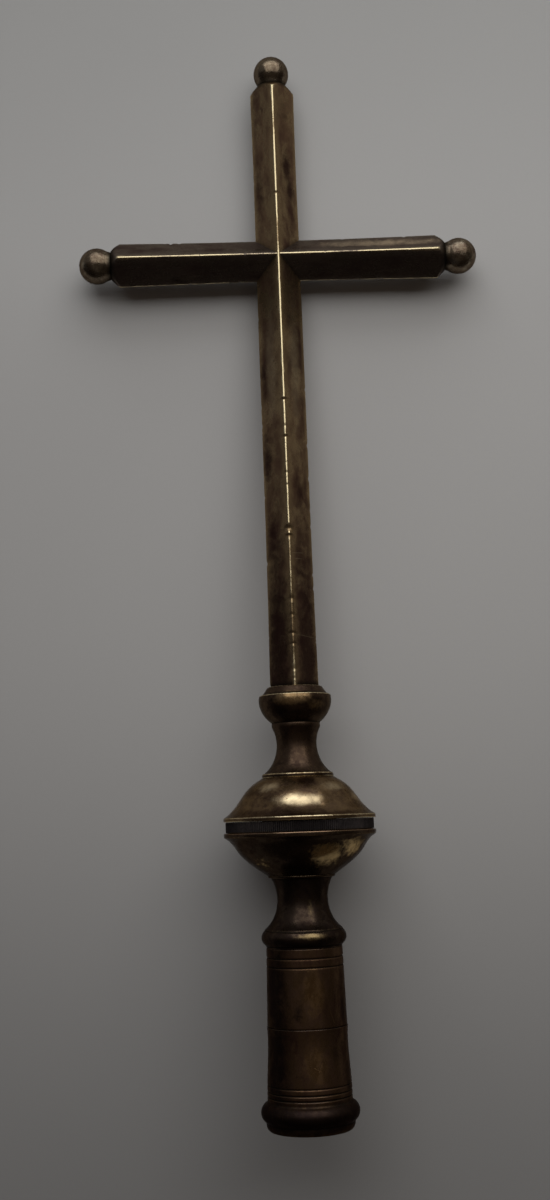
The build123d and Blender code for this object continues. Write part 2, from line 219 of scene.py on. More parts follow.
def thinned(line, worn, grime_and_shade):
    """Indices of the outline points worth keeping, in order."""
    full = np.column_stack([line, worn * MASK_WEIGHT, grime_and_shade * MASK_WEIGHT])
    kept = {0, len(full) - 1}
    spans = [(0, len(full) - 1)]
    longest = round(LONGEST_LEG / DRAW_STEP)
    while spans:
        low, high = spans.pop()
        if high - low < 2:
            continue
        chord = full[high] - full[low]
        offset = full[low + 1 : high] - full[low]
        along = offset @ chord / max(chord @ chord, 1e-18)
        away = np.linalg.norm(offset - along[:, None] * chord, axis=1)
        furthest = int(away.argmax())
        if away[furthest] < FLATNESS:
            if high - low <= longest:
                continue
            furthest = (high - low) // 2 - 1
        middle = low + 1 + furthest
        kept.add(middle)
        spans += [(low, middle), (middle, high)]
    return sorted(kept)


def outline_with_masks(node, **place):
    """A turned piece's finished outline: its points, wear and darker folds, and whether it closes."""
    points, closed = outline_of(node, **place)
    line = softened(redrawn(points, closed), closed)
    if not closed:
        line[0, 0] = line[-1, 0] = 0
    turn = turn_along(line, closed) / FULL_WEAR_TURN
    worn, grime_and_shade = np.clip(turn, 0, 1), np.clip(-turn, 0, 1)
    kept = thinned(line, worn, grime_and_shade)
    return line[kept], worn[kept], grime_and_shade[kept], closed


print("kept of the knop:", len(outline_with_masks("knop")[0]), "points")

# %% [markdown]
# A lathe turns the outline round the axis, and so does this helper: one ring of points for each
# outline point, and quads between rings. Where the outline meets the axis the ring is a single
# point. A shape function may change each radius as it goes round, which makes a knurl, a screw
# thread or a square hole. The wear and the darker folds ride along as attributes that materials
# can read.

# %% Turn an outline into a mesh
SHARP_ANGLE = math.radians(40)


def placed(name, data):
    """A new object in the scene, from a mesh, a light or a camera."""
    thing = bpy.data.objects.new(name, data)
    bpy.context.scene.collection.objects.link(thing)
    return thing


def finish_mesh(name, mesh):
    """Makes an object of a mesh: faces outwards, smooth, with real corners kept sharp."""
    tidy = bmesh.new()
    tidy.from_mesh(mesh)
    bmesh.ops.recalc_face_normals(tidy, faces=tidy.faces)
    tidy.to_mesh(mesh)
    tidy.free()
    mesh.polygons.foreach_set("use_smooth", [True] * len(mesh.polygons))
    mesh.set_sharp_from_angle(angle=SHARP_ANGLE)
    return placed(name, mesh)


def points_of(piece):
    """The places of a piece's points, as one table."""
    return np.array([v.co for v in piece.data.vertices])


def paint(piece, mark, values):
    """Stores one number per point as an attribute of the mesh."""
    data = piece.data.attributes.get(mark)
    data = data or piece.data.attributes.new(mark, "FLOAT", "POINT")
    data.data.foreach_set("value", np.asarray(values, np.float32))


def turned(name, outline, base=(0, 0, 0), axis=(0, 0, 1), seam=(1, 0, 0), steps=192, shape=None):
    """Turns an outline with its masks about an axis, in steps round the circle."""
    line, worn, grime_and_shade, closed = outline
    base, axis, seam = np.array(base, float), np.array(axis, float), np.array(seam, float)
    across = np.cross(axis, seam)
    angle = np.arange(steps) * math.tau / steps
    verts, rings, worn_here, grime_and_shade_here = [], [], [], []
    for (radius, height), bright, dirt_and_shade in zip(line, worn, grime_and_shade):
        if radius < WELD:
            rings.append([len(verts)] * steps)
            verts.append(base + axis * height)
            worn_here.append(bright)
            grime_and_shade_here.append(dirt_and_shade)
            continue
        radii = np.full(steps, radius)
        if shape:
            radii = shape(angle, radius, height)
        spokes = np.outer(np.cos(angle), seam) + np.outer(np.sin(angle), across)
        rings.append(list(range(len(verts), len(verts) + steps)))
        verts += list(base + axis * height + spokes * radii[:, None])
        worn_here += [bright] * steps
        grime_and_shade_here += [dirt_and_shade] * steps
    faces = []
    pairs = list(zip(rings, rings[1:])) + ([(rings[-1], rings[0])] if closed else [])
    for lower, upper in pairs:
        for k in range(steps):
            n = (k + 1) % steps
            corners = [lower[k], lower[n], upper[n], upper[k]]
            corners = list(dict.fromkeys(corners))
            if len(corners) > 2:
                faces.append(corners)
    mesh = bpy.data.meshes.new(name)
    mesh.from_pydata([tuple(v) for v in verts], [], faces)
    piece = finish_mesh(name, mesh)
    paint(piece, "worn", worn_here)
    paint(piece, "grime_and_shade", grime_and_shade_here)
    paint(piece, "rubbed", np.zeros(len(verts)))
    paint(piece, "stained", np.zeros(len(verts)))
    return piece


def stands_for(piece, node, body):
    """Hides the frame piece that a piece stands for, and puts the piece on its body."""
    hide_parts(node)
    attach(piece, body)
    return piece


# %% [markdown]
# Old metal isn't patinated evenly. A cloth polishes the bulges and the patches that a hand finds
# first, so a patch is painted as a soft spot by its bearing and height, and the material later
# breaks its rim up. A dent is a real hollow: points within its reach move in along the surface.

# %% Rub patches bright and press dents
def bearings(piece):
    """Bearing in degrees (0 in front, 90 at +X) and height in mm of each point of a piece."""
    co = points_of(piece)
    return np.degrees(np.arctan2(co[:, 0], -co[:, 1])), co[:, 2] / MM


def rub(piece, patches, mark="rubbed"):
    """Paints soft spots: (bearing, height, half width in degrees, half height, strength)."""
    bearing, height = bearings(piece)
    total = np.zeros(len(bearing))
    for middle, level, wide, tall, strength in patches:
        off = (bearing - middle + 180) % 360 - 180
        spot = np.exp(-((off / wide) ** 2) - ((height - level) / tall) ** 2)
        total = np.maximum(total, strength * spot)
    paint(piece, mark, total)


def dent(piece, dents):
    """Presses hollows into a piece: (point, radius, depth), all in metres."""
    mesh = piece.data
    co = points_of(piece)
    normal = np.array([v.normal for v in mesh.vertices])
    for place, radius, depth in dents:
        off = np.linalg.norm(co - np.array(place), axis=1) / radius
        press = np.where(off < 1, (1 - off**2) ** 2, 0)
        co -= normal * (press * depth)[:, None]
    mesh.vertices.foreach_set("co", co.ravel())
    mesh.update()


def on_turned(piece, bearing, height, radius_guess):
    """The surface point of a turned piece at a bearing and height, both as in rub."""
    a = math.radians(bearing)
    aim = Vector((math.sin(a), -math.cos(a), 0)) * radius_guess + Vector((0, 0, height * MM))
    found = piece.closest_point_on_mesh(aim)
    return found[1]


# %% [markdown]
# The knop is a small baluster: a foot ring, a waist, a narrow band and a cup with a bright rim.
# It was turned from the bar, so the lathe helper makes it whole.

# %% Turn the knop
knop = stands_for(turned("turned_knop", outline_with_masks("knop")), "knop", "head")
rub(knop, [(-8, 190, 42, 4.5, 0.9), (35, 187, 30, 4, 0.7), (150, 188, 70, 6, 0.8)])
print(knop.name, len(knop.data.vertices), "points")

# %% [markdown]
# The node is two spun shells, a dome over a bowl. Spinning leaves them thin and springy, so they
# carry shallow dents, and the patina has been rubbed through where the node is gripped: low on
# the front of the dome and on one side of the bowl.

# %% Turn the dome and the bowl
SHELL_STEPS = 288
dome = turned("dome_shell", outline_with_masks("upper_shell"), steps=SHELL_STEPS)
stands_for(dome, "upper_shell", "head")
dome_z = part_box("upper_shell")[0].z / MM
rub(
    dome,
    [
        (-2, dome_z + 8.8, 32, 3.8, 1.0),
        (-38, dome_z + 15.0, 26, 3.4, 0.75),
        (44, dome_z + 14.5, 30, 3.6, 0.75),
        (70, dome_z + 9, 20, 4, 0.7),
        (-66, dome_z + 8, 14, 4, 0.35),
        (150, dome_z + 8, 34, 4, 0.9),
        (-130, dome_z + 9, 26, 5, 0.7),
    ],
)
# Dark marks on the dome: stains, and at the top centre a painted dark reflection of the knop.
DOME_STAINS_AND_REFLECTION = [(-30, dome_z + 3.5, 60, 2.2, 0.8), (10, dome_z + 17, 20, 2.8, 0.9)]
DOME_STAINS_AND_REFLECTION += [(0, dome_z + 2.6, 400, 1.3, 0.8), (0, dome_z + 20, 400, 1.6, 0.6)]
DOME_STAINS_AND_REFLECTION += [(62, dome_z + 5.5, 22, 2.0, 0.6), (-62, dome_z + 12.5, 16, 2.4, 0.6)]
rub(dome, DOME_STAINS_AND_REFLECTION, mark="stained")
bowl = turned("bowl_shell", outline_with_masks("lower_shell"), steps=SHELL_STEPS)
stands_for(bowl, "lower_shell", "socket")
bowl_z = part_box("lower_shell")[0].z / MM
rub(
    bowl,
    [
        (24, bowl_z + 9, 20, 6.0, 1.2),
        (50, bowl_z + 12, 22, 5.0, 1.0),
        (-48, bowl_z + 6, 22, 3, 0.55),
        (170, bowl_z + 10, 30, 5, 0.8),
        (-110, bowl_z + 11, 24, 4, 0.6),
    ],
)
rub(bowl, [(-12, bowl_z + 8, 26, 12, 0.6), (-40, bowl_z + 14, 30, 3, 0.5)], mark="stained")
print(dome.name, len(dome.data.vertices), "points;", bowl.name, len(bowl.data.vertices), "points")

# %% [markdown]
# Shallow dents a few millimetres wide bend the reflections, which the eye reads as hand-worn metal
# long before it sees the dent itself. They are placed by bearing and height on the two shells.

# %% Dent the shells
DOME_DENTS = [(18, 9.5, 2.6, 0.16), (-24, 5.5, 2.2, 0.12), (52, 12, 2.4, 0.14), (-70, 9, 3.0, 0.2)]
BOWL_DENTS = [(38, 12, 2.4, 0.18), (-20, 9, 2.6, 0.14), (74, 9, 2.4, 0.16), (160, 11, 3.0, 0.2)]
shell_radius = frame_box[1].y
for shell, low, dents in ((dome, dome_z, DOME_DENTS), (bowl, bowl_z, BOWL_DENTS)):
    pressed = []
    for bearing, height, wide, deep in dents:
        place = on_turned(shell, bearing, low + height, shell_radius)
        pressed.append((place, wide * MM, deep * MM))
    dent(shell, pressed)
    print(shell.name, "has", len(pressed), "dents")

# %% [markdown]
# The collar is one piece with a knurled band to grip and a threaded skirt that screws into the
# bowl. The band's radius falls by a triangle wave as it goes round, which cuts the teeth. The
# skirt's radius falls by a wave that also climbs with the angle, and that is exactly what a screw
# thread is. Neither adds anything outside the frame piece. The thread's crests rub against the
# bowl's, so they are brighter than the blackened rest, which shows once the collar is unscrewed.

# %% Turn the knurled collar with its thread
KNURL_TEETH = 220
POINTS_PER_TOOTH = 4
KNURL_DEPTH = 0.35 * MM
THREAD_PITCH = 2.0 * MM
THREAD_DEPTH = 0.7 * MM
THREAD_RING_GAP = 0.25 * MM
KNURL_BAND = 1.0 * MM
SKIRT_BAND = 0.1 * MM
PLAIN_TIP = 0.4 * MM
collar_low, collar_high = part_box("screw_collar")
bowl_rim_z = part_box("lower_shell")[1].z


def triangle(turns):
    """A wave that is 0 at whole turns and 1 half way between them."""
    return 1 - np.abs(2 * (turns % 1) - 1)


def collar_outline():
    """The collar's outline, with close rings down the skirt so that the thread can show."""
    line, worn, grime_and_shade, closed = outline_with_masks("screw_collar")
    skirt_radius = line[line[:, 1] < bowl_rim_z][:, 0].max()
    rows = []
    for index, (point, bright, dirt_and_shade) in enumerate(zip(line, worn, grime_and_shade)):
        rows.append((*point, bright, dirt_and_shade))
        onward = line[(index + 1) % len(line)]
        both_on_skirt = min(point[0], onward[0]) > skirt_radius - SKIRT_BAND
        rise = onward[1] - point[1]
        if both_on_skirt and max(point[1], onward[1]) < bowl_rim_z + WELD:
            extra = int(abs(rise) / THREAD_RING_GAP)
            for k in range(1, extra):
                rows.append((point[0], point[1] + rise * k / extra, 0, 0))
    table = np.array(rows)
    return (table[:, :2], table[:, 2], table[:, 3], closed), skirt_radius


collar_line, skirt_radius = collar_outline()
knurl_radius = collar_high.x


def collar_shape(angle, radius, height):
    """Teeth on the band, a screw thread on the skirt, and a plain bore inside."""
    if radius > knurl_radius - KNURL_BAND:
        teeth = triangle(angle / math.tau * KNURL_TEETH)
        return radius - KNURL_DEPTH * teeth
    if radius > skirt_radius - SKIRT_BAND and collar_low.z + PLAIN_TIP < height < bowl_rim_z:
        climb = height / THREAD_PITCH - angle / math.tau
        return radius - THREAD_DEPTH * triangle(climb)
    return np.full(len(angle), radius)


collar = turned(
    "knurled_collar", collar_line, steps=KNURL_TEETH * POINTS_PER_TOOTH, shape=collar_shape
)
stands_for(collar, "screw_collar", "collar")
collar_points = points_of(collar)
below_skirt = skirt_radius - np.hypot(collar_points[:, 0], collar_points[:, 1])
crests = np.clip(1 - np.abs(below_skirt) / (THREAD_DEPTH / 2), 0, 1)
paint(collar, "rubbed", np.where(collar_points[:, 2] < bowl_rim_z, crests, 0))
print(collar.name, len(collar.data.vertices), "points, thread from", round(skirt_radius / MM, 1))

# %% [markdown]
# Below the bowl come the neck and the two sleeves of the socket. The neck has a square hole that
# keeps the head from turning, made by letting the hole's radius follow a square as it goes round.

# %% Turn the neck and the socket
SQUARE_HOLE_REACH = 5.0 * MM
ROUND_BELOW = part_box("neck")[0].z + 10 * MM


def neck_shape(angle, radius, height):
    """Round outside, square where the hole for the tang is."""
    if radius > SQUARE_HOLE_REACH or height < ROUND_BELOW:
        return np.full(len(angle), radius)
    return radius / np.maximum(np.abs(np.cos(angle)), np.abs(np.sin(angle)))


neck = turned("turned_neck", outline_with_masks("neck"), shape=neck_shape)
stands_for(neck, "neck", "socket")
rub(neck, [(6, 84.5, 26, 1.8, 0.9), (14, 95, 16, 7, 0.6), (170, 84, 60, 2.2, 0.6)])
upper_sleeve = turned("upper_sleeve", outline_with_masks("upper_ferrule"))
stands_for(upper_sleeve, "upper_ferrule", "socket")
lower_sleeve = turned("lower_sleeve", outline_with_masks("lower_ferrule"))
stands_for(lower_sleeve, "lower_ferrule", "socket")
rub(lower_sleeve, [(8, 30, 26, 14, 0.75), (-22, 36, 14, 8, 0.5), (160, 28, 60, 14, 0.7)])
rub(upper_sleeve, [(10, 60, 24, 14, 0.8), (-30, 68, 16, 8, 0.45), (170, 60, 60, 14, 0.7)])
LOWER_STAINS = [(-56, 30, 26, 40, 0.9), (64, 20, 18, 30, 0.6), (0, 7, 500, 6, 1.3)]
rub(lower_sleeve, LOWER_STAINS, mark="stained")
UPPER_STAINS = [(-56, 60, 26, 40, 0.9), (-14, 52, 9, 6, 0.7), (64, 55, 16, 24, 0.6)]
rub(upper_sleeve, UPPER_STAINS, mark="stained")
print("socket points:", sum(len(p.data.vertices) for p in (neck, upper_sleeve, lower_sleeve)))

# %% [markdown]
# Three balls end the bars. Each is turned on its own axis, so the same helper works with another
# base and direction. They are handled most of all, so small knocks cover them.

# %% Turn the three balls
BALL_STEPS = 128
KNOCKS_PER_BALL = 14
KNOCK_RADIUS = (0.7, 1.6)
KNOCK_DEPTH = (0.04, 0.12)
NECK_SIDE = -0.4
BALL_NECK_SHADE = 1.6 * MM
BALL_SHADE_AT_BASE = 1.4
MOST_BALL_SHADE = 0.9
BALL_POLISH = {"top": 0.2, "left": 0.42, "right": 0.45}
ball_places = {
    "top": ((0, 0, tip_z), (0, 0, 1), (1, 0, 0)),
    "left": ((-arm_end, 0, crossing.z), (-1, 0, 0), (0, 1, 0)),
    "right": ((arm_end, 0, crossing.z), (1, 0, 0), (0, 1, 0)),
}
knocks = random.Random(7)
balls = []
for side, (base, axis, seam) in ball_places.items():
    place = {"base": base, "axis": axis, "seam": seam}
    outline = outline_with_masks(f"{side}_ball", **place)
    ball = turned(f"ball_{side}", outline, steps=BALL_STEPS, **place)
    stands_for(ball, f"{side}_ball", "head")
    low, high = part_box(f"{side}_ball")
    middle, ball_radius = (low + high) / 2, (high.y - low.y) / 2
    hits = []
    for _ in range(KNOCKS_PER_BALL):
        aim = Vector([knocks.gauss(0, 1) for _ in range(3)]).normalized()
        if aim.dot(Vector(axis)) < NECK_SIDE:
            continue
        place_hit = ball.closest_point_on_mesh(middle + aim * ball_radius)[1]
        wide, deep = knocks.uniform(*KNOCK_RADIUS) * MM, knocks.uniform(*KNOCK_DEPTH) * MM
        hits.append((place_hit, wide, deep))
    dent(ball, hits)
    # Painted shade: each ball darkens towards its neck, where it meets the bar.
    from_base = [(v.co - Vector(base)).dot(Vector(axis)) for v in ball.data.vertices]
    dirt_and_shade = BALL_SHADE_AT_BASE - np.array(from_base) / BALL_NECK_SHADE
    paint(ball, "grime_and_shade", np.clip(dirt_and_shade, 0, MOST_BALL_SHADE))
    paint(ball, "rubbed", np.full(len(ball.data.vertices), BALL_POLISH[side]))
    balls.append(ball)
print([ball.name for ball in balls], ball_radius / MM)

# %% [markdown]
# The bars are square and stand on edge, so what faces the viewer is a ridge. They swell a little
# towards their ends. Rays shot at the frame's bars from behind measure how far the ridge stands
# out at each place. The section is then drawn new: four flats joined by small arcs, because the
# ridges have been worn round.

# %% Measure the bars
RIDGE_FLAT = 0.3 * MM
RIDGE_RADIUS = 0.72 * MM
END_CLEAR = 4.6 * MM
FAR = 0.05


def surface_of(node):
    """A search tree of a frame piece, for rays."""
    mesh = nodes[node].data
    return BVHTree.FromPolygons([v.co for v in mesh.vertices], [p.vertices for p in mesh.polygons])


def ridge_table(node, back, points):
    """How far the sharp ridge would stand from the axis at each of the axis points."""
    tree = surface_of(node)
    reach = []
    for point in points:
        hit = tree.ray_cast(Vector(point) + Vector(back) * FAR, -Vector(back))[0]
        reach.append((hit - Vector(point)).dot(Vector(back)) + RIDGE_FLAT)
    return np.array(reach)


MEASURE_STEP = 4 * MM
upright_marks = np.arange(foot_z + 0.2 * MM, tip_z - END_CLEAR, MEASURE_STEP)
upright_reach = ridge_table("upright_bar", (0, 1, 0), [(0, 0, z) for z in upright_marks])
arm_marks = np.arange(-arm_end + END_CLEAR, arm_end - END_CLEAR + MEASURE_STEP / 2, MEASURE_STEP)
arm_reach = ridge_table("cross_bar", (0, -1, 0), [(x, 0, crossing.z) for x in arm_marks])
print("upright ridge", (upright_reach / MM).round(2)[[0, 12, -1]], "arms", (arm_reach / MM).round(2)[::12])

# %% [markdown]
# A bar is lofted from many sections. The turned ends come from limiting each point's distance
# from the axis by a cone, which cuts the ridges off in a bright triangle, as the lathe did. The
# flats wander by hundredths of a millimetre, and the nicks are real notches in the ridge.

# %% Loft a bar
ARC_STEPS = 6
FLAT_STEPS = 10
BAR_STEP = 0.5 * MM
WANDER = 0.05 * MM
WANDER_SIZE = 14 * MM
NICK_WIDTH = 1.1 * MM
HOLE_EXTRA = 0.05 * MM
ROUNDING_LOSS = 0.41 * RIDGE_RADIUS


def bar_section(reach):
    """The section of a square bar on edge with worn ridges, as points round its axis."""
    centre = reach - RIDGE_RADIUS * math.sqrt(2)
    points = []
    for ridge in range(4):
        way = ridge * math.pi / 2
        for step in range(ARC_STEPS + 1):
            a = way + math.pi / 4 * (2 * step / ARC_STEPS - 1)
            u = centre * math.cos(way) + RIDGE_RADIUS * math.cos(a)
            v = centre * math.sin(way) + RIDGE_RADIUS * math.sin(a)
            points.append((u, v))
    section = []
    for index, point in enumerate(points):
        section.append(point)
        if index % (ARC_STEPS + 1) == ARC_STEPS:
            onward = points[(index + 1) % len(points)]
            for step in range(1, FLAT_STEPS):
                t = step / FLAT_STEPS
                section.append(tuple(p + (q - p) * t for p, q in zip(point, onward)))
    return np.array(section)


def lofted_bar(name, start, end, reach_at, cone_at, nicks, holes, seed):
    """A bar along its own z axis: (u, v, along). Nicks are (along, ridge, half length, depth)."""
    count = round((end - start) / BAR_STEP)
    rings = []
    for index in range(count + 1):
        along = start + (end - start) * index / count
        section = bar_section(reach_at(along))
        spread = np.hypot(section[:, 0], section[:, 1])
        limit = np.minimum(spread, cone_at(along))
        drop = np.zeros(len(section))
        for place, ridge, half, depth in nicks:
            t = (along - place) / half
            if abs(t) < 1:
                way = np.array([math.cos(ridge * math.pi / 2), math.sin(ridge * math.pi / 2)])
                apex = way * (reach_at(along) - ROUNDING_LOSS)
                off = np.linalg.norm(section - apex, axis=1) / NICK_WIDTH
                drop += depth * (1 - t * t) ** 2 * np.exp(-(off**2))
        for k, (u, v) in enumerate(section):
            spot = Vector((u, v, along)) / WANDER_SIZE + Vector((seed, 0, 0))
            drop[k] += WANDER * (0.5 + 0.5 * noise.noise(spot))
        ring = section * ((limit - drop) / spread)[:, None]
        rings.append([(u, v, along) for u, v in ring])
    verts = [point for ring in rings for point in ring]
    around_count = len(rings[0])
    faces = []
    for index in range(count):
        for k in range(around_count):
            n = (k + 1) % around_count
            low, high = index * around_count, (index + 1) * around_count
            faces.append([low + k, low + n, high + n, high + k])
    for ring_start, along, inward, (hole_radius, hole_depth) in (
        (0, start, 1, holes[0]),
        (count * around_count, end, -1, holes[1]),
    ):
        previous = ring_start
        for radius, level in ((hole_radius, along), (hole_radius, along + inward * hole_depth)):
            first = len(verts)
            for k in range(around_count):
                u, v, _ = verts[ring_start + k]
                a = math.atan2(v, u)
                verts.append((radius * math.cos(a), radius * math.sin(a), level))
            for k in range(around_count):
                n = (k + 1) % around_count
                faces.append([previous + k, previous + n, first + n, first + k])
            previous = first
        faces.append([previous + k for k in range(around_count)])
    mesh = bpy.data.meshes.new(name)
    mesh.from_pydata(verts, [], faces)
    return mesh


# %% [markdown]
# The front ridge carries most of the damage: one deep knock low on the upright, and scattered
# small nicks. The larger ones are listed as (place, half length, depth) in mm. The rest come
# from a seeded random generator, so the scene is the same each time it runs. Ridges are numbered
# as they go round the bar.

# %% Loft the upright and the arms
MICRO_NICK_EVERY = 7.0 * MM
FRONT_RIDGE = 3
SMALL_NICKS = {"half": (0.7, 1.6), "depth": (0.1, 0.4)}
MICRO_NICKS = {"half": (0.3, 0.7), "depth": (0.02, 0.09)}
KNOWN_UPRIGHT_NICKS = [
    (434.5, 1.0, 0.50),
    (331.5, 0.9, 0.45),
    (318.5, 0.8, 0.25),
    (313.5, 0.9, 0.45),
    (296.0, 1.2, 0.15),
    (269.5, 2.2, 0.85),
    (266.0, 1.4, 0.40),
    (236.5, 1.8, 0.25),
    (229.0, 1.2, 0.15),
    (220.5, 1.0, 0.35),
    (215.5, 0.8, 0.20),
    (204.0, 1.4, 0.20),
]
KNOWN_ARM_NICKS = [
    (-58.5, 0.8, 0.20),
    (-37.8, 0.8, 0.40),
    (-36.4, 0.7, 0.30),
    (-16.0, 1.1, 0.45),
    (22.5, 0.9, 0.30),
    (50.0, 0.8, 0.15),
    (63.0, 0.8, 0.35),
    (74.0, 0.9, 0.30),
]


def with_random_nicks(known, low, high, count, seed):
    """Known front nicks, small ones on the other ridges and fine ones in front, in metres."""
    chance = random.Random(seed)
    nicks = [(place * MM, FRONT_RIDGE, half * MM, depth * MM) for place, half, depth in known]
    others = [ridge for ridge in range(4) if ridge != FRONT_RIDGE]
    for _ in range(count):
        place = chance.uniform(low, high)
        half = chance.uniform(*SMALL_NICKS["half"]) * MM
        depth = chance.uniform(*SMALL_NICKS["depth"]) * MM
        nicks.append((place, chance.choice(others), half, depth))
    for _ in range(round((high - low) / MICRO_NICK_EVERY)):
        place = chance.uniform(low, high)
        half = chance.uniform(*MICRO_NICKS["half"]) * MM
        depth = chance.uniform(*MICRO_NICKS["depth"]) * MM
        nicks.append((place, FRONT_RIDGE, half, depth))
    return nicks


def end_radius_of(node, axis_number, level):
    """The radius that a bar's turned end has at its very end."""
    co = points_of(nodes[node])
    at_end = co[np.abs(co[:, axis_number] - level) < WELD]
    centre = crossing.z if axis_number == 0 else 0.0
    third = at_end[:, 2] - centre if axis_number == 0 else at_end[:, 0]
    return float(np.hypot(at_end[:, 1], third).max())


TANG_HOLE_RADIUS = 6.05 * MM
end_radius = end_radius_of("upright_bar", 2, tip_z)
stud_hole = (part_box("top_stud")[1].x + HOLE_EXTRA, (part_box("top_stud")[1].z - tip_z))
tang_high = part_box("tang")[1].z
tang_hole = (TANG_HOLE_RADIUS, tang_high - foot_z)
upright_nicks = with_random_nicks(KNOWN_UPRIGHT_NICKS, foot_z, tip_z, count=46, seed=11)
arm_nicks = with_random_nicks(KNOWN_ARM_NICKS, -arm_end, arm_end, count=26, seed=12)
upright_mesh = lofted_bar(
    "upright_square_bar",
    foot_z,
    tip_z,
    lambda z: np.interp(z, upright_marks, upright_reach),
    lambda z: end_radius + (tip_z - z),
    upright_nicks,
    (tang_hole, stud_hole),
    seed=3.1,
)
arms_mesh = lofted_bar(
    "arms_square_bar",
    -arm_end,
    arm_end,
    lambda x: np.interp(x, arm_marks, arm_reach),
    lambda x: end_radius + (arm_end - abs(x)),
    arm_nicks,
    (stud_hole, stud_hole),
    seed=8.4,
)
# The arms' own axis lies along +X, their ridge 0 points up, and their ridge 3 to the front.
arms_mesh.transform(Matrix(((0, 0, 1, 0), (0, 1, 0, 0), (1, 0, 0, crossing.z), (0, 0, 0, 1))))
print("upright", len(upright_mesh.vertices), "points; arms", len(arms_mesh.vertices), "points")

# %% [markdown]
# The two bars are halved into each other: the front half of the crossing belongs to the arms and
# the back half to the upright. A plane cuts half of each bar's copy off, and a boolean takes that
# half out of the other bar, so that nothing is left hidden inside and the valleys are true.

# %% Halve the bars into each other
def half_of(mesh, keep_front):
    """A closed copy of the front or back half of a mesh."""
    half = bmesh.new()
    half.from_mesh(mesh)
    away = (0, 1, 0) if keep_front else (0, -1, 0)
    everything = half.verts[:] + half.edges[:] + half.faces[:]
    sliced = bmesh.ops.bisect_plane(
        half, geom=everything, plane_co=(0, 0, 0), plane_no=away, clear_outer=True
    )
    rim = [e for e in sliced["geom_cut"] if isinstance(e, bmesh.types.BMEdge)]
    bmesh.ops.holes_fill(half, edges=rim, sides=0)
    bmesh.ops.recalc_face_normals(half, faces=half.faces)
    cut = bpy.data.meshes.new(mesh.name + "_half")
    half.to_mesh(cut)
    half.free()
    return cut


def without(name, mesh, other):
    """A mesh less another one, as a finished piece."""
    whole = finish_mesh(name + "_whole", mesh)
    tool = finish_mesh(name + "_cutter", other)
    lap = whole.modifiers.new("half lap", "BOOLEAN")
    lap.operation = "DIFFERENCE"
    lap.solver = "EXACT"
    lap.object = tool
    bpy.context.view_layer.update()
    ready = whole.evaluated_get(bpy.context.evaluated_depsgraph_get())
    cut = bpy.data.meshes.new_from_object(ready)
    for helper in (whole, tool):
        bpy.data.objects.remove(helper)
    cut.name = name
    return finish_mesh(name, cut)


front_of_arms = half_of(arms_mesh, keep_front=True)
back_of_upright = half_of(upright_mesh, keep_front=False)
upright = without("upright", upright_mesh, front_of_arms)
arms = without("arms", arms_mesh, back_of_upright)
stands_for(upright, "upright_bar", "head")
stands_for(arms, "cross_bar", "head")
print(upright.name, len(upright.data.vertices), arms.name, len(arms.data.vertices))

# %% [markdown]
# Wear and dirt on the bars follow from where each point is. Close to a ridge it is worn, and deep
# in the valleys of the crossing, where no cloth reaches, it is dirty. Close to each end, where a
# ball or the knop meets the bar, it is painted dark as shade.

# %% Paint wear and dirt on the bars
WORN_REACH = 0.75 * MM
RIDGE_WIGGLE = 0.45 * MM
RIDGE_WIGGLE_LENGTH = 5 * MM
SIDE_RIDGE_SHARE = 1.7
HALO_REACH = 5 * MM
HALO = 0.5
LOW_WEAR_FADE = 120 * MM
PATCHY_WEAR = 22 * MM
RIDGE_END = 16 * MM
END_WEAR = 0.9
VALLEY_REACH = 2.0 * MM
VALLEY_DIRT = 0.55
JOINT_SHADE_REACH = 2.2 * MM
FULLY_WORN = 1.3
PATCHY_LEVEL = 0.92
PATCHY_SWING = 0.6
CLEAN_BESIDE_RIDGE = 0.8 * MM
DIRT_BUILD_UP = 2 * MM
FULLY_SHADED_JOINT = 1.3
GRIME_AND_SHADE_OVER_WEAR = 0.6


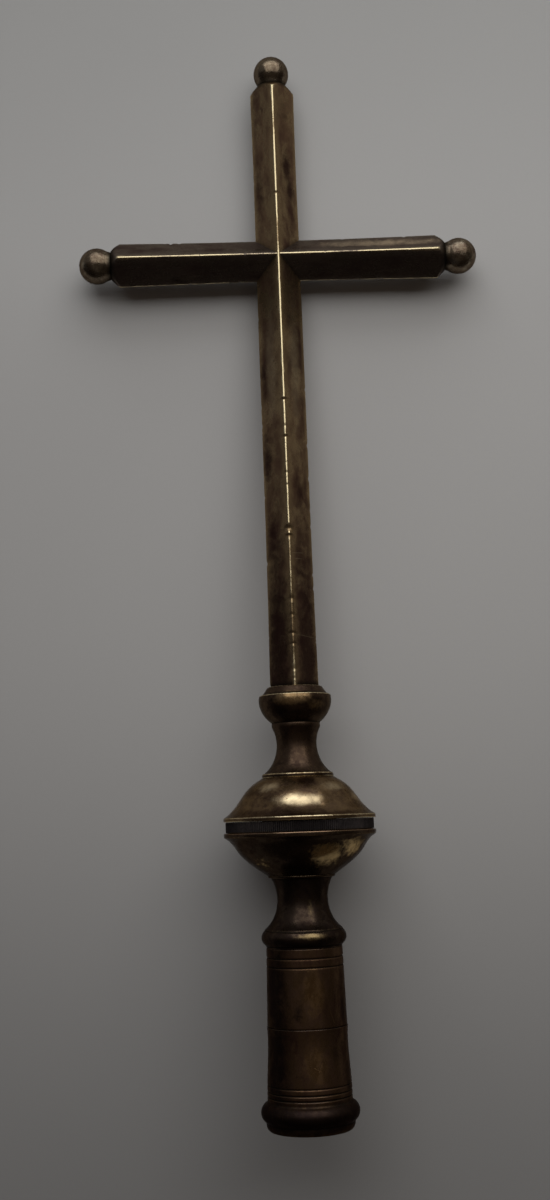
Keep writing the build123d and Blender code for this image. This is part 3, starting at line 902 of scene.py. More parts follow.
def paint_bar(piece, along_axis, marks, reaches, low, high, low_wear=1.0):
    """Works out wear along the ridges, dirt in the valleys, and painted shade at the bar's two ends."""
    co = points_of(piece) - np.array(crossing)
    along = co[:, along_axis]
    u = co[:, 2 if along_axis == 0 else 0]
    v = co[:, 1]
    shift = crossing.z if along_axis == 2 else 0.0
    apex = np.interp(along + shift, marks, reaches) - ROUNDING_LOSS
    wiggles = [Vector((a, b, c)) / RIDGE_WIGGLE_LENGTH for a, b, c in co]
    wiggle = RIDGE_WIGGLE * np.array([noise.noise(place) for place in wiggles])
    side_ridges = np.hypot(np.abs(u) - apex, v + wiggle) * SIDE_RIDGE_SHARE
    near = np.minimum(side_ridges, np.hypot(np.abs(v) - apex, u + wiggle))
    to_end = np.minimum(np.abs(along + shift - low), np.abs(along + shift - high))
    flare = np.clip(1 - (to_end - (apex - end_radius)) / RIDGE_END, 0, 1)
    worn = np.clip(FULLY_WORN - near / (WORN_REACH * (1 + END_WEAR * flare)), 0, 1)
    places = [Vector((a, b, c)) / PATCHY_WEAR for a, b, c in co]
    patchy = PATCHY_LEVEL + PATCHY_SWING * np.array([noise.noise(place) for place in places])
    patchy = np.minimum(patchy, 1)
    worn *= np.maximum(patchy, flare)
    # The wear fades towards the foot, where the upright is painted darker as shade.
    worn *= np.interp(along + shift, (low, low + LOW_WEAR_FADE), (low_wear, 1))
    worn = np.maximum(worn, HALO * np.clip(1 - near / HALO_REACH, 0, 1))
    valley = np.abs(np.abs(along) - np.abs(u)) / VALLEY_REACH
    inside = np.abs(along) < apex
    grime_and_shade = np.where(inside, VALLEY_DIRT * np.clip(1 - valley, 0, 1), 0)
    grime_and_shade *= np.clip((near - CLEAN_BESIDE_RIDGE) / DIRT_BUILD_UP, 0, 1)
    # Painted shade: the bar darkens close to each end, where a ball or the knop meets it.
    shade_at_joint = np.clip(FULLY_SHADED_JOINT - to_end / JOINT_SHADE_REACH, 0, 1)
    grime_and_shade = np.maximum(grime_and_shade, shade_at_joint * (near > WORN_REACH))
    paint(piece, "worn", worn * (1 - GRIME_AND_SHADE_OVER_WEAR * grime_and_shade))
    paint(piece, "grime_and_shade", grime_and_shade)
    return worn


upright_wear = paint_bar(upright, 2, upright_marks, upright_reach, foot_z, tip_z, low_wear=0.72)
paint_bar(arms, 0, arm_marks, arm_reach, -arm_end, arm_end)
print("mean wear on the upright:", round(float(upright_wear.mean()), 3))

# %% [markdown]
# The facets between the ridges aren't even. Darker stains are left where the bar isn't handled,
# while a long pale patch shows where it is held. Towards the knop the upright is painted darker as
# shade, where less light reaches it. Each is a soft oval spot, and a stain is repeated on the
# facets behind.

# %% Stain and rub the facets
FACET_DEPTH = 4 * MM
SPOT_DEPTH = 6 * MM


def spots(piece, mark, rows, sides=(-1, 1)):
    """Paints oval spots: (x, height, half width, half height, strength), sizes in mm."""
    co = points_of(piece)
    total = np.zeros(len(co))
    for x, z, wide, tall, strength in rows:
        off = ((co[:, 0] - x * MM) / (wide * MM)) ** 2 + ((co[:, 2] - z * MM) / (tall * MM)) ** 2
        for side in sides:
            deep = ((co[:, 1] - side * FACET_DEPTH) / SPOT_DEPTH) ** 2
            total = np.maximum(total, strength * np.exp(-off - deep))
    paint(piece, mark, total)


foot_height, arms_height = foot_z / MM, crossing.z / MM
UPRIGHT_STAINS_AND_FOOT_SHADE = [
    (5.5, 449, 2.4, 9, 1.0),
    (7.0, 438, 2.0, 7, 0.9),
    (-8.0, 436, 2.6, 16, 0.6),
    (5.0, 478, 3.5, 8, 0.45),
    (4.0, 371, 3.0, 5, 0.8),
    (6.5, 360, 3.0, 7, 0.7),
    (-9.0, 343, 2.6, 12, 0.75),
    (-9.0, 305, 3.0, 16, 0.8),
    (5.0, 290, 4.0, 8, 0.7),
    (-7.5, 262, 4.0, 20, 0.75),
    (-6.0, 225, 6.0, 26, 0.8),
    (6.5, 212, 4.0, 12, 0.5),
    # Painted shade: one broad dark spot over the lower upright, darkest at its foot.
    (0.0, foot_height, 16, 80, 1.15),
]
ARM_STAINS = [
    (-34, arms_height + 3, 30, 3.0, 0.5),
    (-60, arms_height + 5, 9, 2.0, 0.5),
    (14, arms_height + 4, 8, 3.0, 0.5),
]
spots(upright, "stained", UPRIGHT_STAINS_AND_FOOT_SHADE)
spots(arms, "stained", ARM_STAINS)
spots(upright, "rubbed", [(-4, 350, 5, 50, 0.95), (5, 350, 5, 50, 0.95)], sides=(-1,))
spots(arms, "rubbed", [(52, arms_height + 5, 46, 5, 1.0)], sides=(-1,))
print(len(UPRIGHT_STAINS_AND_FOOT_SHADE), "stains on the upright,", len(ARM_STAINS), "on the arms")

# %% [markdown]
# Materials are wired from nodes. A few short helpers keep the wiring readable: feed puts a number,
# a colour or another node's output into a socket, and the rest make one kind of node each.

# %% Wire nodes with short helpers
class Bench:
    """Adds and joins nodes in one tree."""

    def __init__(self, tree):
        self.tree = tree
        self.count = 0

    def feed(self, socket, value):
        """Links an output, or stores a plain number or colour."""
        if isinstance(value, bpy.types.NodeSocket):
            self.tree.links.new(value, socket)
        else:
            socket.default_value = value

    def add(self, kind, **settings):
        """One node, laid out a step further right than the last."""
        node = self.tree.nodes.new(kind)
        node.location = (180 * (self.count % 12), -220 * (self.count // 12))
        self.count += 1
        for name, value in settings.items():
            setattr(node, name, value)
        return node

    def sum(self, operation, first, second=0.0):
        """A Math node."""
        node = self.add("ShaderNodeMath", operation=operation)
        self.feed(node.inputs[0], first)
        self.feed(node.inputs[1], second)
        return node.outputs[0]

    def stretch(self, vector, scale):
        """A vector times another, part by part."""
        node = self.add("ShaderNodeVectorMath", operation="MULTIPLY")
        self.feed(node.inputs[0], vector)
        self.feed(node.inputs[1], scale)
        return node.outputs[0]

    def cloud(self, vector, scale, detail=4.0, roughness=0.55, distortion=0.0):
        """Noise from 0 to 1."""
        node = self.add("ShaderNodeTexNoise")
        self.feed(node.inputs["Vector"], vector)
        self.feed(node.inputs["Scale"], scale)
        self.feed(node.inputs["Detail"], detail)
        self.feed(node.inputs["Roughness"], roughness)
        self.feed(node.inputs["Distortion"], distortion)
        return node.outputs["Fac"]

    def between(self, value, low, high, start=0.0, end=1.0):
        """A smooth step from start to end as value goes from low to high."""
        node = self.add("ShaderNodeMapRange", interpolation_type="SMOOTHSTEP")
        for name, given in (("Value", value), ("From Min", low), ("From Max", high)):
            self.feed(node.inputs[name], given)
        self.feed(node.inputs["To Min"], start)
        self.feed(node.inputs["To Max"], end)
        return node.outputs["Result"]

    def blend(self, share, first, second):
        """A mix of two colours."""
        node = self.add("ShaderNodeMix", data_type="RGBA")
        self.feed(node.inputs["Factor"], share)
        self.feed(node.inputs[6], first)
        self.feed(node.inputs[7], second)
        return node.outputs[2]

    def effect(self, group, **values):
        """A placed node group, with its inputs fed by name."""
        node = self.add("ShaderNodeGroup", node_tree=group)
        for name, value in values.items():
            self.feed(node.inputs[name.replace("_", " ")], value)
        return node.outputs


def bench_on(owner):
    """A bench on the emptied nodes of a material or a world."""
    owner.use_nodes = True
    owner.node_tree.nodes.clear()
    return Bench(owner.node_tree)


def new_effect(name, inputs, outputs):
    """An empty node group with named sockets: its bench, its inputs and its outputs."""
    group = bpy.data.node_groups.new(name, "ShaderNodeTree")
    kinds = {"value": "NodeSocketFloat", "vector": "NodeSocketVector"}
    for label, kind, start in inputs:
        socket = group.interface.new_socket(label, in_out="INPUT", socket_type=kinds[kind])
        socket.default_value = start
    for label in outputs:
        group.interface.new_socket(label, in_out="OUTPUT", socket_type=kinds["value"])
    bench = Bench(group)
    entry = bench.add("NodeGroupInput")
    way_out = bench.add("NodeGroupOutput")
    return group, bench, entry.outputs, way_out.inputs


# %% [markdown]
# Patina comes in clouds: broad dark stains, with finer speckle inside them. Both are noise, and
# the place is stretched first, because on a bar the stains run lengthways where cloths and fingers
# have drawn them out. One group gives both masks, so every brass finish shares it.

# %% Patina clouds
patina_clouds, bench, given, out = new_effect(
    "patina_clouds",
    [
        ("Place", "vector", (0, 0, 0)),
        ("Stretch", "vector", (1, 1, 1)),
        ("Size mm", "value", 12.0),
    ],
    ["Broad", "Fine", "Speckle", "Stain"],
)
per_metre = bench.sum("DIVIDE", 1.0 / MM, given["Size mm"])
drawn_out = bench.stretch(given["Place"], given["Stretch"])
broad = bench.cloud(drawn_out, per_metre, detail=5.0, roughness=0.6, distortion=0.7)
fine = bench.cloud(drawn_out, bench.sum("MULTIPLY", per_metre, 4.5), detail=6.0, roughness=0.65)
speckle = bench.cloud(given["Place"], bench.sum("MULTIPLY", per_metre, 22.0), detail=3.0)
stain_place = bench.sum("MULTIPLY", per_metre, 1.7)
stain = bench.cloud(drawn_out, stain_place, detail=5.0, roughness=0.62, distortion=1.4)
bench.feed(out["Broad"], bench.between(broad, 0.32, 0.68))
bench.feed(out["Fine"], bench.between(fine, 0.34, 0.68))
bench.feed(out["Speckle"], bench.between(speckle, 0.45, 0.70))
bench.feed(out["Stain"], bench.between(stain, 0.60, 0.72))
print(patina_clouds.name, "has", len(patina_clouds.nodes), "nodes")

# %% [markdown]
# Wear starts from a painted mark, such as a ridge or a rubbed patch, but its rim is ragged: the
# metal shows first on high grains. Noise is added to the mark before it is cut at a threshold.

# %% Worn through to bright metal
worn_through, bench, given, out = new_effect(
    "worn_through",
    [
        ("Mark", "value", 0.0),
        ("Place", "vector", (0, 0, 0)),
        ("Ragged", "value", 0.5),
        ("Grain mm", "value", 2.0),
        ("Threshold", "value", 0.5),
        ("Softness", "value", 0.2),
    ],
    ["Mask"],
)
grain_scale = bench.sum("DIVIDE", 1.0 / MM, given["Grain mm"])
grain = bench.cloud(given["Place"], grain_scale, detail=7.0, roughness=0.7, distortion=0.4)
push = bench.sum("MULTIPLY", bench.sum("SUBTRACT", grain, 0.5), given["Ragged"])
raised = bench.sum("ADD", given["Mark"], push)
upper = bench.sum("ADD", given["Threshold"], given["Softness"])
bench.feed(out["Mask"], bench.between(raised, given["Threshold"], upper))
print(worn_through.name, "has", len(worn_through.nodes), "nodes")

# %% [markdown]
# Casting leaves pinholes, and knocks leave small round pits. Cells of random points give them:
# each cell has one pit at its centre, and only some cells are used.

# %% Pits
pits, bench, given, out = new_effect(
    "pits",
    [
        ("Place", "vector", (0, 0, 0)),
        ("Spacing mm", "value", 2.5),
        ("Radius", "value", 0.16),
        ("Share", "value", 0.3),
    ],
    ["Mask"],
)
cells = bench.add("ShaderNodeTexVoronoi", feature="F1")
bench.feed(cells.inputs["Vector"], given["Place"])
bench.feed(cells.inputs["Scale"], bench.sum("DIVIDE", 1.0 / MM, given["Spacing mm"]))
picked = bench.add("ShaderNodeSeparateColor")
bench.feed(picked.inputs[0], cells.outputs["Color"])
chosen = bench.sum("LESS_THAN", picked.outputs[0], given["Share"])
wide = bench.sum("MULTIPLY", given["Radius"], bench.between(picked.outputs[1], 0, 1, 0.4, 1.3))
hollow = bench.between(cells.outputs["Distance"], 0.0, wide, 1.0, 0.0)
bench.feed(out["Mask"], bench.sum("MULTIPLY", hollow, chosen))
print(pits.name, "has", len(pits.nodes), "nodes")

# %% [markdown]
# Fine scratches are noise stretched so far that its spots become hairlines, then cut to a thin
# band of values. Turning marks are the rings that a lathe tool leaves, so they change only with
# the height, which is noise along one direction.

# %% Hairlines and turning marks
hairlines, bench, given, out = new_effect(
    "hairlines",
    [("Place", "vector", (0, 0, 0)), ("Stretch", "vector", (1, 1, 1)), ("Width", "value", 0.02)],
    ["Mask"],
)
long_spots = bench.cloud(bench.stretch(given["Place"], given["Stretch"]), 1.0, detail=2.0)
middle = bench.sum("ABSOLUTE", bench.sum("SUBTRACT", long_spots, 0.5))
line = bench.between(middle, 0.0, given["Width"], 1.0, 0.0)
patchy = bench.between(bench.cloud(given["Place"], 90.0, detail=2.0), 0.5, 0.62)
bench.feed(out["Mask"], bench.sum("MULTIPLY", line, patchy))

turning_marks, bench, given, out = new_effect(
    "turning_marks",
    [("Place", "vector", (0, 0, 0)), ("Spacing mm", "value", 0.6)],
    ["Height"],
)
only_height = bench.stretch(given["Place"], (0.02, 0.02, 1.0))
rings_scale = bench.sum("DIVIDE", 1.0 / MM, given["Spacing mm"])
bench.feed(out["Height"], bench.cloud(only_height, rings_scale, detail=3.0, roughness=0.7))
print("hairlines and turning marks are ready")

# %% [markdown]
# A few scratches are long enough to be seen one by one. Each is the thin zone round a straight
# line, so the group measures how far a point is from the line between two ends: it finds the
# nearest place along the line, holds that between the ends, and takes the distance.

# %% One scratch
one_scratch, bench, given, out = new_effect(
    "one_scratch",
    [
        ("Place", "vector", (0, 0, 0)),
        ("Start", "vector", (0, 0, 0)),
        ("Run", "vector", (0, 0, 0.01)),
        ("Width", "value", 0.0003),
    ],
    ["Mask"],
)


def vector_sum(operation, first, second):
    """A Vector Math node on the current bench."""
    node = bench.add("ShaderNodeVectorMath", operation=operation)
    bench.feed(node.inputs[0], first)
    bench.feed(node.inputs[1], second)
    return node


offset = vector_sum("SUBTRACT", given["Place"], given["Start"]).outputs[0]
along_run = vector_sum("DOT_PRODUCT", offset, given["Run"]).outputs["Value"]
run_squared = vector_sum("DOT_PRODUCT", given["Run"], given["Run"]).outputs["Value"]
share = bench.add("ShaderNodeMath", operation="DIVIDE", use_clamp=True)
bench.feed(share.inputs[0], along_run)
bench.feed(share.inputs[1], run_squared)
reached = bench.add("ShaderNodeVectorMath", operation="SCALE")
bench.feed(reached.inputs[0], given["Run"])
bench.feed(reached.inputs["Scale"], share.outputs[0])
gap = vector_sum("SUBTRACT", offset, reached.outputs[0]).outputs[0]
length = bench.add("ShaderNodeVectorMath", operation="LENGTH")
bench.feed(length.inputs[0], gap)
bench.feed(out["Mask"], bench.between(length.outputs["Value"], 0.0, given["Width"], 1.0, 0.0))
print(one_scratch.name, "has", len(one_scratch.nodes), "nodes")

# %% [markdown]
# One recipe makes every brass finish, with its own values: dark, middle and light patina, bare
# metal, how much of each, how rough each is, and how deep the surface marks go. Patina is an
# oxide, so it is less metallic and rougher than the metal it covers.

# %% The recipe for aged brass
BUMP_DISTANCE = 0.12 * MM
SCRATCH_WEIGHT = 4.0
STAIN_AND_SHADE_STRENGTH = 0.88
PIT_STRENGTH = 0.8
ROUGH_SWING = 0.08
DIRT_ROUGHNESS = 0.2
SPECKLE_DEPTH = 0.10
PIT_DEPTH = 1.2
SCRATCH_DEPTH = 0.25


def aged_brass(name, look):
    """A material of patina over brass. look is a dictionary of the finish's own values."""
    material = bpy.data.materials.new(name)
    bench = bench_on(material)
    place = bench.add("ShaderNodeTexCoord").outputs["Object"]

    def mark(label):
        return bench.add("ShaderNodeAttribute", attribute_name=label).outputs["Fac"]

    clouds = bench.effect(
        patina_clouds, Place=place, Stretch=look["stretch"], Size_mm=look["cloud_mm"]
    )
    ridge = bench.effect(
        worn_through,
        Mark=mark("worn"),
        Place=place,
        Ragged=look["edge_ragged"],
        Grain_mm=look["edge_grain_mm"],
        Threshold=look["edge_threshold"],
        Softness=0.30,
    )["Mask"]
    patch = bench.effect(
        worn_through,
        Mark=mark("rubbed"),
        Place=place,
        Ragged=look["patch_ragged"],
        Grain_mm=look["patch_grain_mm"],
        Threshold=0.40,
        Softness=look["patch_softness"],
    )["Mask"]
    pitted = bench.effect(
        pits, Place=place, Spacing_mm=look["pit_mm"], Radius=0.2, Share=look["pit_share"]
    )["Mask"]
    scratched = bench.effect(
        hairlines, Place=place, Stretch=look["hair_stretch"], Width=0.012
    )["Mask"]
    for start, run, width in look["scratches"]:
        single = bench.effect(
            one_scratch,
            Place=place,
            Start=tuple(c * MM for c in start),
            Run=tuple(c * MM for c in run),
            Width=width * MM,
        )["Mask"]
        scratched = bench.sum("MAXIMUM", scratched, bench.sum("MULTIPLY", single, SCRATCH_WEIGHT))
    rings = bench.effect(turning_marks, Place=place, Spacing_mm=0.5)["Height"]
    # The darkening mark: dirt in hollows and valleys, and painted shade where the balls and the knop meet
    # the bars.
    dirt_and_shade = bench.sum("MULTIPLY", mark("grime_and_shade"), look["dirt_and_shade"])

    colour = bench.blend(clouds["Broad"], look["dark"], look["middle"])
    for cloud, share, over in (
        ("Fine", "light_share", "light"),
        ("Speckle", "speckle_share", "dark"),
        ("Stain", "stain_share", "stain"),
    ):
        colour = bench.blend(bench.sum("MULTIPLY", clouds[cloud], look[share]), colour, look[over])
    bright = bench.sum("MAXIMUM", ridge, bench.sum("MULTIPLY", patch, look["patch_share"]))
    bright = bench.sum("MAXIMUM", bright, bench.sum("MULTIPLY", scratched, look["hair_share"]))
    bright = bench.sum("MINIMUM", bright, 1.0)
    halo = bench.between(mark("worn"), 0.0, 0.45, 0.0, look["halo_share"])
    colour = bench.blend(halo, colour, look["light"])
    # Stains, with the painted shade at the upright's foot and the painted dark reflection on the dome.
    stained = bench.effect(
        worn_through,
        Mark=mark("stained"),
        Place=place,
        Ragged=1.3,
        Grain_mm=5.0,
        Threshold=0.15,
        Softness=0.75,
    )["Mask"]
    colour = bench.blend(bench.sum("MULTIPLY", stained, STAIN_AND_SHADE_STRENGTH), colour, look["stain"])
    clean = bench.sum("MULTIPLY", bright, bench.sum("SUBTRACT", 1.0, dirt_and_shade))
    metal_colour = bench.blend(ridge, look["patch"], look["bare"])
    colour = bench.blend(clean, colour, metal_colour)
    colour = bench.blend(bench.sum("MULTIPLY", pitted, PIT_STRENGTH), colour, look["dark"])
    # Darkened by that mark: dirt, and painted shade at the joints.
    colour = bench.blend(dirt_and_shade, colour, look["dirt_and_shade_colour"])

    roughest, smoothest = look["rough"] + ROUGH_SWING, look["rough"] - ROUGH_SWING
    rough = bench.between(clouds["Fine"], 0.0, 1.0, roughest, smoothest)
    smoother = bench.sum("MULTIPLY", clean, look["rough"] - look["bare_rough"])
    rough = bench.sum("SUBTRACT", rough, smoother)
    rough = bench.sum("ADD", rough, bench.sum("MULTIPLY", dirt_and_shade, DIRT_ROUGHNESS))
    metal = bench.between(clean, 0.0, 1.0, look["metallic"], 1.0)

    height = bench.sum("MULTIPLY", clouds["Fine"], look["grain_depth"])
    for way, layer, depth in (
        ("ADD", clouds["Speckle"], SPECKLE_DEPTH),
        ("ADD", rings, look["ring_depth"]),
        ("SUBTRACT", pitted, PIT_DEPTH),
        ("SUBTRACT", scratched, SCRATCH_DEPTH),
    ):
        height = bench.sum(way, height, bench.sum("MULTIPLY", layer, depth))
    bump = bench.add("ShaderNodeBump")
    bump.inputs["Strength"].default_value = look["bump"]
    bump.inputs["Distance"].default_value = BUMP_DISTANCE
    bench.feed(bump.inputs["Height"], height)

    shader = bench.add("ShaderNodeBsdfPrincipled")
    bench.feed(shader.inputs["Base Color"], colour)
    bench.feed(shader.inputs["Roughness"], rough)
    bench.feed(shader.inputs["Metallic"], metal)
    bench.feed(shader.inputs["Specular Tint"], look["edge_on"])
    bench.feed(shader.inputs["Normal"], bump.outputs["Normal"])
    surface = bench.add("ShaderNodeOutputMaterial")
    bench.feed(surface.inputs["Surface"], shader.outputs[0])
    return material


# %% [markdown]
# The values for each finish start from one plain brown brass, and each finish says only what is
# its own. The bars' stains run lengthways, so the upright and the arms have the same brass with
# the stretch turned.

# %% Mix the finishes
PLAIN = {
    "dark": (0.018, 0.011, 0.009, 1),
    "middle": (0.046, 0.032, 0.024, 1),
    "light": (0.085, 0.062, 0.040, 1),
    "stain": (0.012, 0.008, 0.008, 1),
    "bare": (0.760, 0.640, 0.400, 1),
    "patch": (0.420, 0.290, 0.150, 1),
    "dirt_and_shade_colour": (0.012, 0.011, 0.008, 1),
    "edge_on": (0.45, 0.42, 0.40, 1),
    "stretch": (1, 1, 1),
    "cloud_mm": 16.0,
    "light_share": 0.45,
    "speckle_share": 0.25,
    "stain_share": 0.5,
    "halo_share": 0.0,
    "rough": 0.32,
    "bare_rough": 0.22,
    "metallic": 0.9,
    "edge_threshold": 0.5,
    "edge_ragged": 0.6,
    "edge_grain_mm": 1.6,
    "patch_ragged": 1.0,
    "patch_grain_mm": 5.0,
    "patch_softness": 0.5,
    "patch_share": 0.5,
    "pit_mm": 2.6,
    "pit_share": 0.14,
    "hair_stretch": (900, 900, 60),
    "hair_share": 0.12,
    "dirt_and_shade": 0.85,
    "grain_depth": 0.12,
    "ring_depth": 0.0,
    "bump": 0.3,
    "scratches": [],
}


def finish(name, **own):
    """A brass finish: the plain values with some of its own."""
    return aged_brass(name, {**PLAIN, **own})


BAR = {
    "dark": (0.062, 0.031, 0.025, 1),
    "middle": (0.180, 0.108, 0.066, 1),
    "light": (0.330, 0.238, 0.128, 1),
    "stain": (0.032, 0.014, 0.013, 1),
    "patch": (0.400, 0.320, 0.200, 1),
    "patch_share": 0.85,
    "patch_ragged": 0.6,
    "patch_softness": 0.9,
    "light_share": 0.75,
    "stain_share": 0.8,
    "halo_share": 0.6,
    "cloud_mm": 30.0,
    "rough": 0.29,
    "edge_ragged": 0.7,
    "edge_grain_mm": 1.4,
    "pit_mm": 2.2,
    "pit_share": 0.24,
}


def scratch(piece, start, end, half_width):
    """A scratch between two places near a piece, laid on its surface, in mm."""
    ends = [piece.closest_point_on_mesh(Vector(place) * MM)[1] / MM for place in (start, end)]
    return tuple(ends[0]), tuple(ends[1] - ends[0]), half_width


KNOCK_SCRATCHES = [
    scratch(upright, (1.0, -9.8, 258.0), (6.0, -4.8, 258.6), 0.26),
    scratch(upright, (1.5, -9.3, 255.5), (5.5, -5.3, 255.7), 0.22),
    scratch(upright, (0.5, -10.2, 220.0), (9.5, -1.2, 219.0), 0.26),
    scratch(upright, (0.8, -9.9, 243.0), (4.3, -6.4, 244.2), 0.20),
    scratch(upright, (-0.8, -9.9, 398.0), (-5.8, -4.9, 396.0), 0.20),
]
upright_finish = finish(
    "upright_brass", **BAR, stretch=(1, 1, 0.55), scratches=KNOCK_SCRATCHES
)
arms_finish = finish(
    "arms_brass",
    **{
        **BAR,
        "dark": (0.070, 0.046, 0.040, 1),
        "middle": (0.130, 0.098, 0.080, 1),
        "light": (0.205, 0.170, 0.135, 1),
        "patch": (0.760, 0.600, 0.420, 1),
        "patch_share": 0.95,
        "patch_ragged": 1.2,
    },
    stretch=(0.55, 1, 1),
    hair_stretch=(60, 900, 900),
)
ball_finish = finish(
    "ball_brass",
    cloud_mm=8.0,
    dark=(0.080, 0.052, 0.038, 1),
    middle=(0.150, 0.112, 0.076, 1),
    light=(0.270, 0.225, 0.155, 1),
    stain=(0.045, 0.028, 0.022, 1),
    patch=(0.640, 0.570, 0.430, 1),
    patch_share=0.8,
    patch_grain_mm=5.0,
    patch_ragged=1.6,
    patch_softness=0.6,
    rough=0.22,
    bare_rough=0.13,
    pit_mm=1.6,
    pit_share=0.36,
    hair_stretch=(700, 700, 200),
)
turned_finish = finish(
    "turned_brown_brass",
    ring_depth=0.35,
    cloud_mm=11.0,
    dark=(0.024, 0.013, 0.010, 1),
    middle=(0.064, 0.040, 0.027, 1),
    light=(0.115, 0.075, 0.044, 1),
    patch=(0.640, 0.430, 0.210, 1),
    edge_on=(0.6, 0.56, 0.5, 1),
)
neck_finish = finish(
    "neck_brass",
    ring_depth=0.3,
    cloud_mm=13.0,
    middle=(0.044, 0.029, 0.023, 1),
    light=(0.080, 0.056, 0.036, 1),
    bare=(0.150, 0.105, 0.075, 1),
    patch=(0.360, 0.265, 0.130, 1),
    patch_share=0.65,
    edge_threshold=0.7,
)
DOME = {
    "cloud_mm": 18.0,
    "stretch": (1, 1, 1.5),
    "ring_depth": 0.25,
    "rough": 0.24,
    "bare_rough": 0.15,
    "dark": (0.064, 0.038, 0.025, 1),
    "middle": (0.160, 0.105, 0.060, 1),
    "light": (0.310, 0.205, 0.100, 1),
    "stain": (0.036, 0.019, 0.014, 1),
    "patch": (0.900, 0.720, 0.450, 1),
    "patch_share": 1.0,
    "patch_ragged": 0.9,
    "patch_grain_mm": 7.0,
    "patch_softness": 0.8,
    "stain_share": 0.5,
    "pit_mm": 2.0,
    "pit_share": 0.25,
    "edge_on": (0.56, 0.50, 0.43, 1),
}
dome_finish = finish("dome_brass", **DOME)
bowl_finish = finish(
    "bowl_brass",
    **{
        **DOME,
        "dark": (0.040, 0.024, 0.017, 1),
        "middle": (0.090, 0.060, 0.038, 1),
        "light": (0.130, 0.096, 0.064, 1),
        "edge_on": (0.46, 0.43, 0.41, 1),
        "bare": (0.220, 0.135, 0.095, 1),
        "patch": (0.950, 0.680, 0.330, 1),
        "patch_ragged": 1.9,
        "patch_grain_mm": 2.6,
        "edge_threshold": 0.66,
        "pit_mm": 1.5,
        "pit_share": 0.6,
    },
)
# The socket's colours are darker partly as painted shade, since less light reaches the bottom of the
# cross.
socket_finish_and_shade = finish(
    "socket_brass",
    stretch=(1, 1, 0.5),
    cloud_mm=16.0,
    ring_depth=0.25,
    dark=(0.046, 0.022, 0.015, 1),
    middle=(0.096, 0.055, 0.034, 1),
    light=(0.160, 0.098, 0.050, 1),
    patch=(0.280, 0.170, 0.078, 1),
    patch_share=0.8,
    bare=(0.078, 0.056, 0.044, 1),
    light_share=0.6,
    grain_depth=0.25,
    edge_threshold=0.7,
    rough=0.38,
    scratches=[
        scratch(lower_sleeve, (3.6, -17.1, 27.0), (5.4, -17.1, 31.0), 0.26),
        scratch(lower_sleeve, (4.4, -17.1, 27.2), (1.6, -17.1, 28.8), 0.22),
        scratch(upper_sleeve, (-3.5, -16.4, 71.2), (1.5, -16.3, 71.6), 0.24),
        scratch(upper_sleeve, (0.5, -16.5, 69.5), (2.9, -16.5, 71.1), 0.26),
        scratch(upper_sleeve, (9.5, -14.4, 52.0), (11.1, -13.2, 47.0), 0.22),
    ],
)
collar_finish = finish(
    "blackened_collar",
    dark=(0.026, 0.023, 0.024, 1),
    middle=(0.056, 0.048, 0.049, 1),
    light=(0.105, 0.090, 0.088, 1),
    stain=(0.014, 0.013, 0.013, 1),
    bare=(0.160, 0.140, 0.130, 1),
    edge_threshold=0.75,
    patch=(0.420, 0.330, 0.200, 1),
    patch_share=0.8,
    patch_ragged=0.5,
    rough=0.45,
    bare_rough=0.4,
    cloud_mm=6.0,
)
iron_finish = finish(
    "plain_iron",
    dark=(0.05, 0.045, 0.04, 1),
    middle=(0.12, 0.11, 0.10, 1),
    light=(0.20, 0.18, 0.16, 1),
    bare=(0.45, 0.43, 0.40, 1),
    patch_share=0.0,
    cloud_mm=5.0,
)
print("finishes:", [m.name for m in bpy.data.materials if m.name.endswith(("brass", "collar", "iron"))])

# %% [markdown]
# Pieces that were made together share a finish. Giving them out in one list makes it easy to see
# that nothing was forgotten, and the inner parts get the plain finishes they have on the bench.

# %% Give every piece its finish
def dress(piece, material):
    """Gives a piece its one material."""
    piece.data.materials.clear()
    piece.data.materials.append(material)


for piece, material in (
    (upright, upright_finish),
    (arms, arms_finish),
    (knop, turned_finish),
    (dome, dome_finish),
    (bowl, bowl_finish),
    (collar, collar_finish),
    (neck, neck_finish),
    (upper_sleeve, socket_finish_and_shade),
    (lower_sleeve, socket_finish_and_shade),
    *((ball, ball_finish) for ball in balls),
):
    dress(piece, material)
for node in ("hub_disc", "keeper_disc", "thread_seat", "shell_nut"):
    dress(nodes[node], turned_finish)
for node in ("clamp_nut", "tang", "top_stud", "left_stud", "right_stud"):
    dress(nodes[node], iron_finish)
print("undressed:", [n for n, o in nodes.items() if not o.hide_render and not o.data.materials])

# %% [markdown]
# The cross lies on a pale sheet, so the floor of this scene stands nearly upright behind it. The
# node is the thickest part and holds the sheet off there, and higher up the back ridges of the
# bars lie on it, so the sheet slants and then runs level. That brings the shadow of the arms close
# under them and leaves the socket's shadow wide. Seen from behind the sheet would hide the cross,
# so its back lets light through: Backfacing tells which side a ray meets.

# %% Lay the pale floor
FLOOR_HALF = 2.2
FLOOR_CLEAR = 0.5 * MM
FLOOR_BEND = 1.2 * MM
FLOOR_ROW = 20 * MM
STRAIGHT_BEYOND = 30
node_rest = Vector((0, frame_box[1].y, (collar_low.z + collar_high.z) / 2))
arms_rest = Vector((0, arm_reach.max(), crossing.z))


def floor_depth(z):
    """How far back the sheet is at a height: a slant and a level part, blended softly."""
    slope = (arms_rest.y - node_rest.y) / (arms_rest.z - node_rest.z)
    slant = node_rest.y + slope * (z - node_rest.z)
    excess = (slant - arms_rest.y) / FLOOR_BEND
    rise = excess if excess > STRAIGHT_BEYOND else math.log1p(math.exp(excess))
    return arms_rest.y + FLOOR_BEND * rise + FLOOR_CLEAR


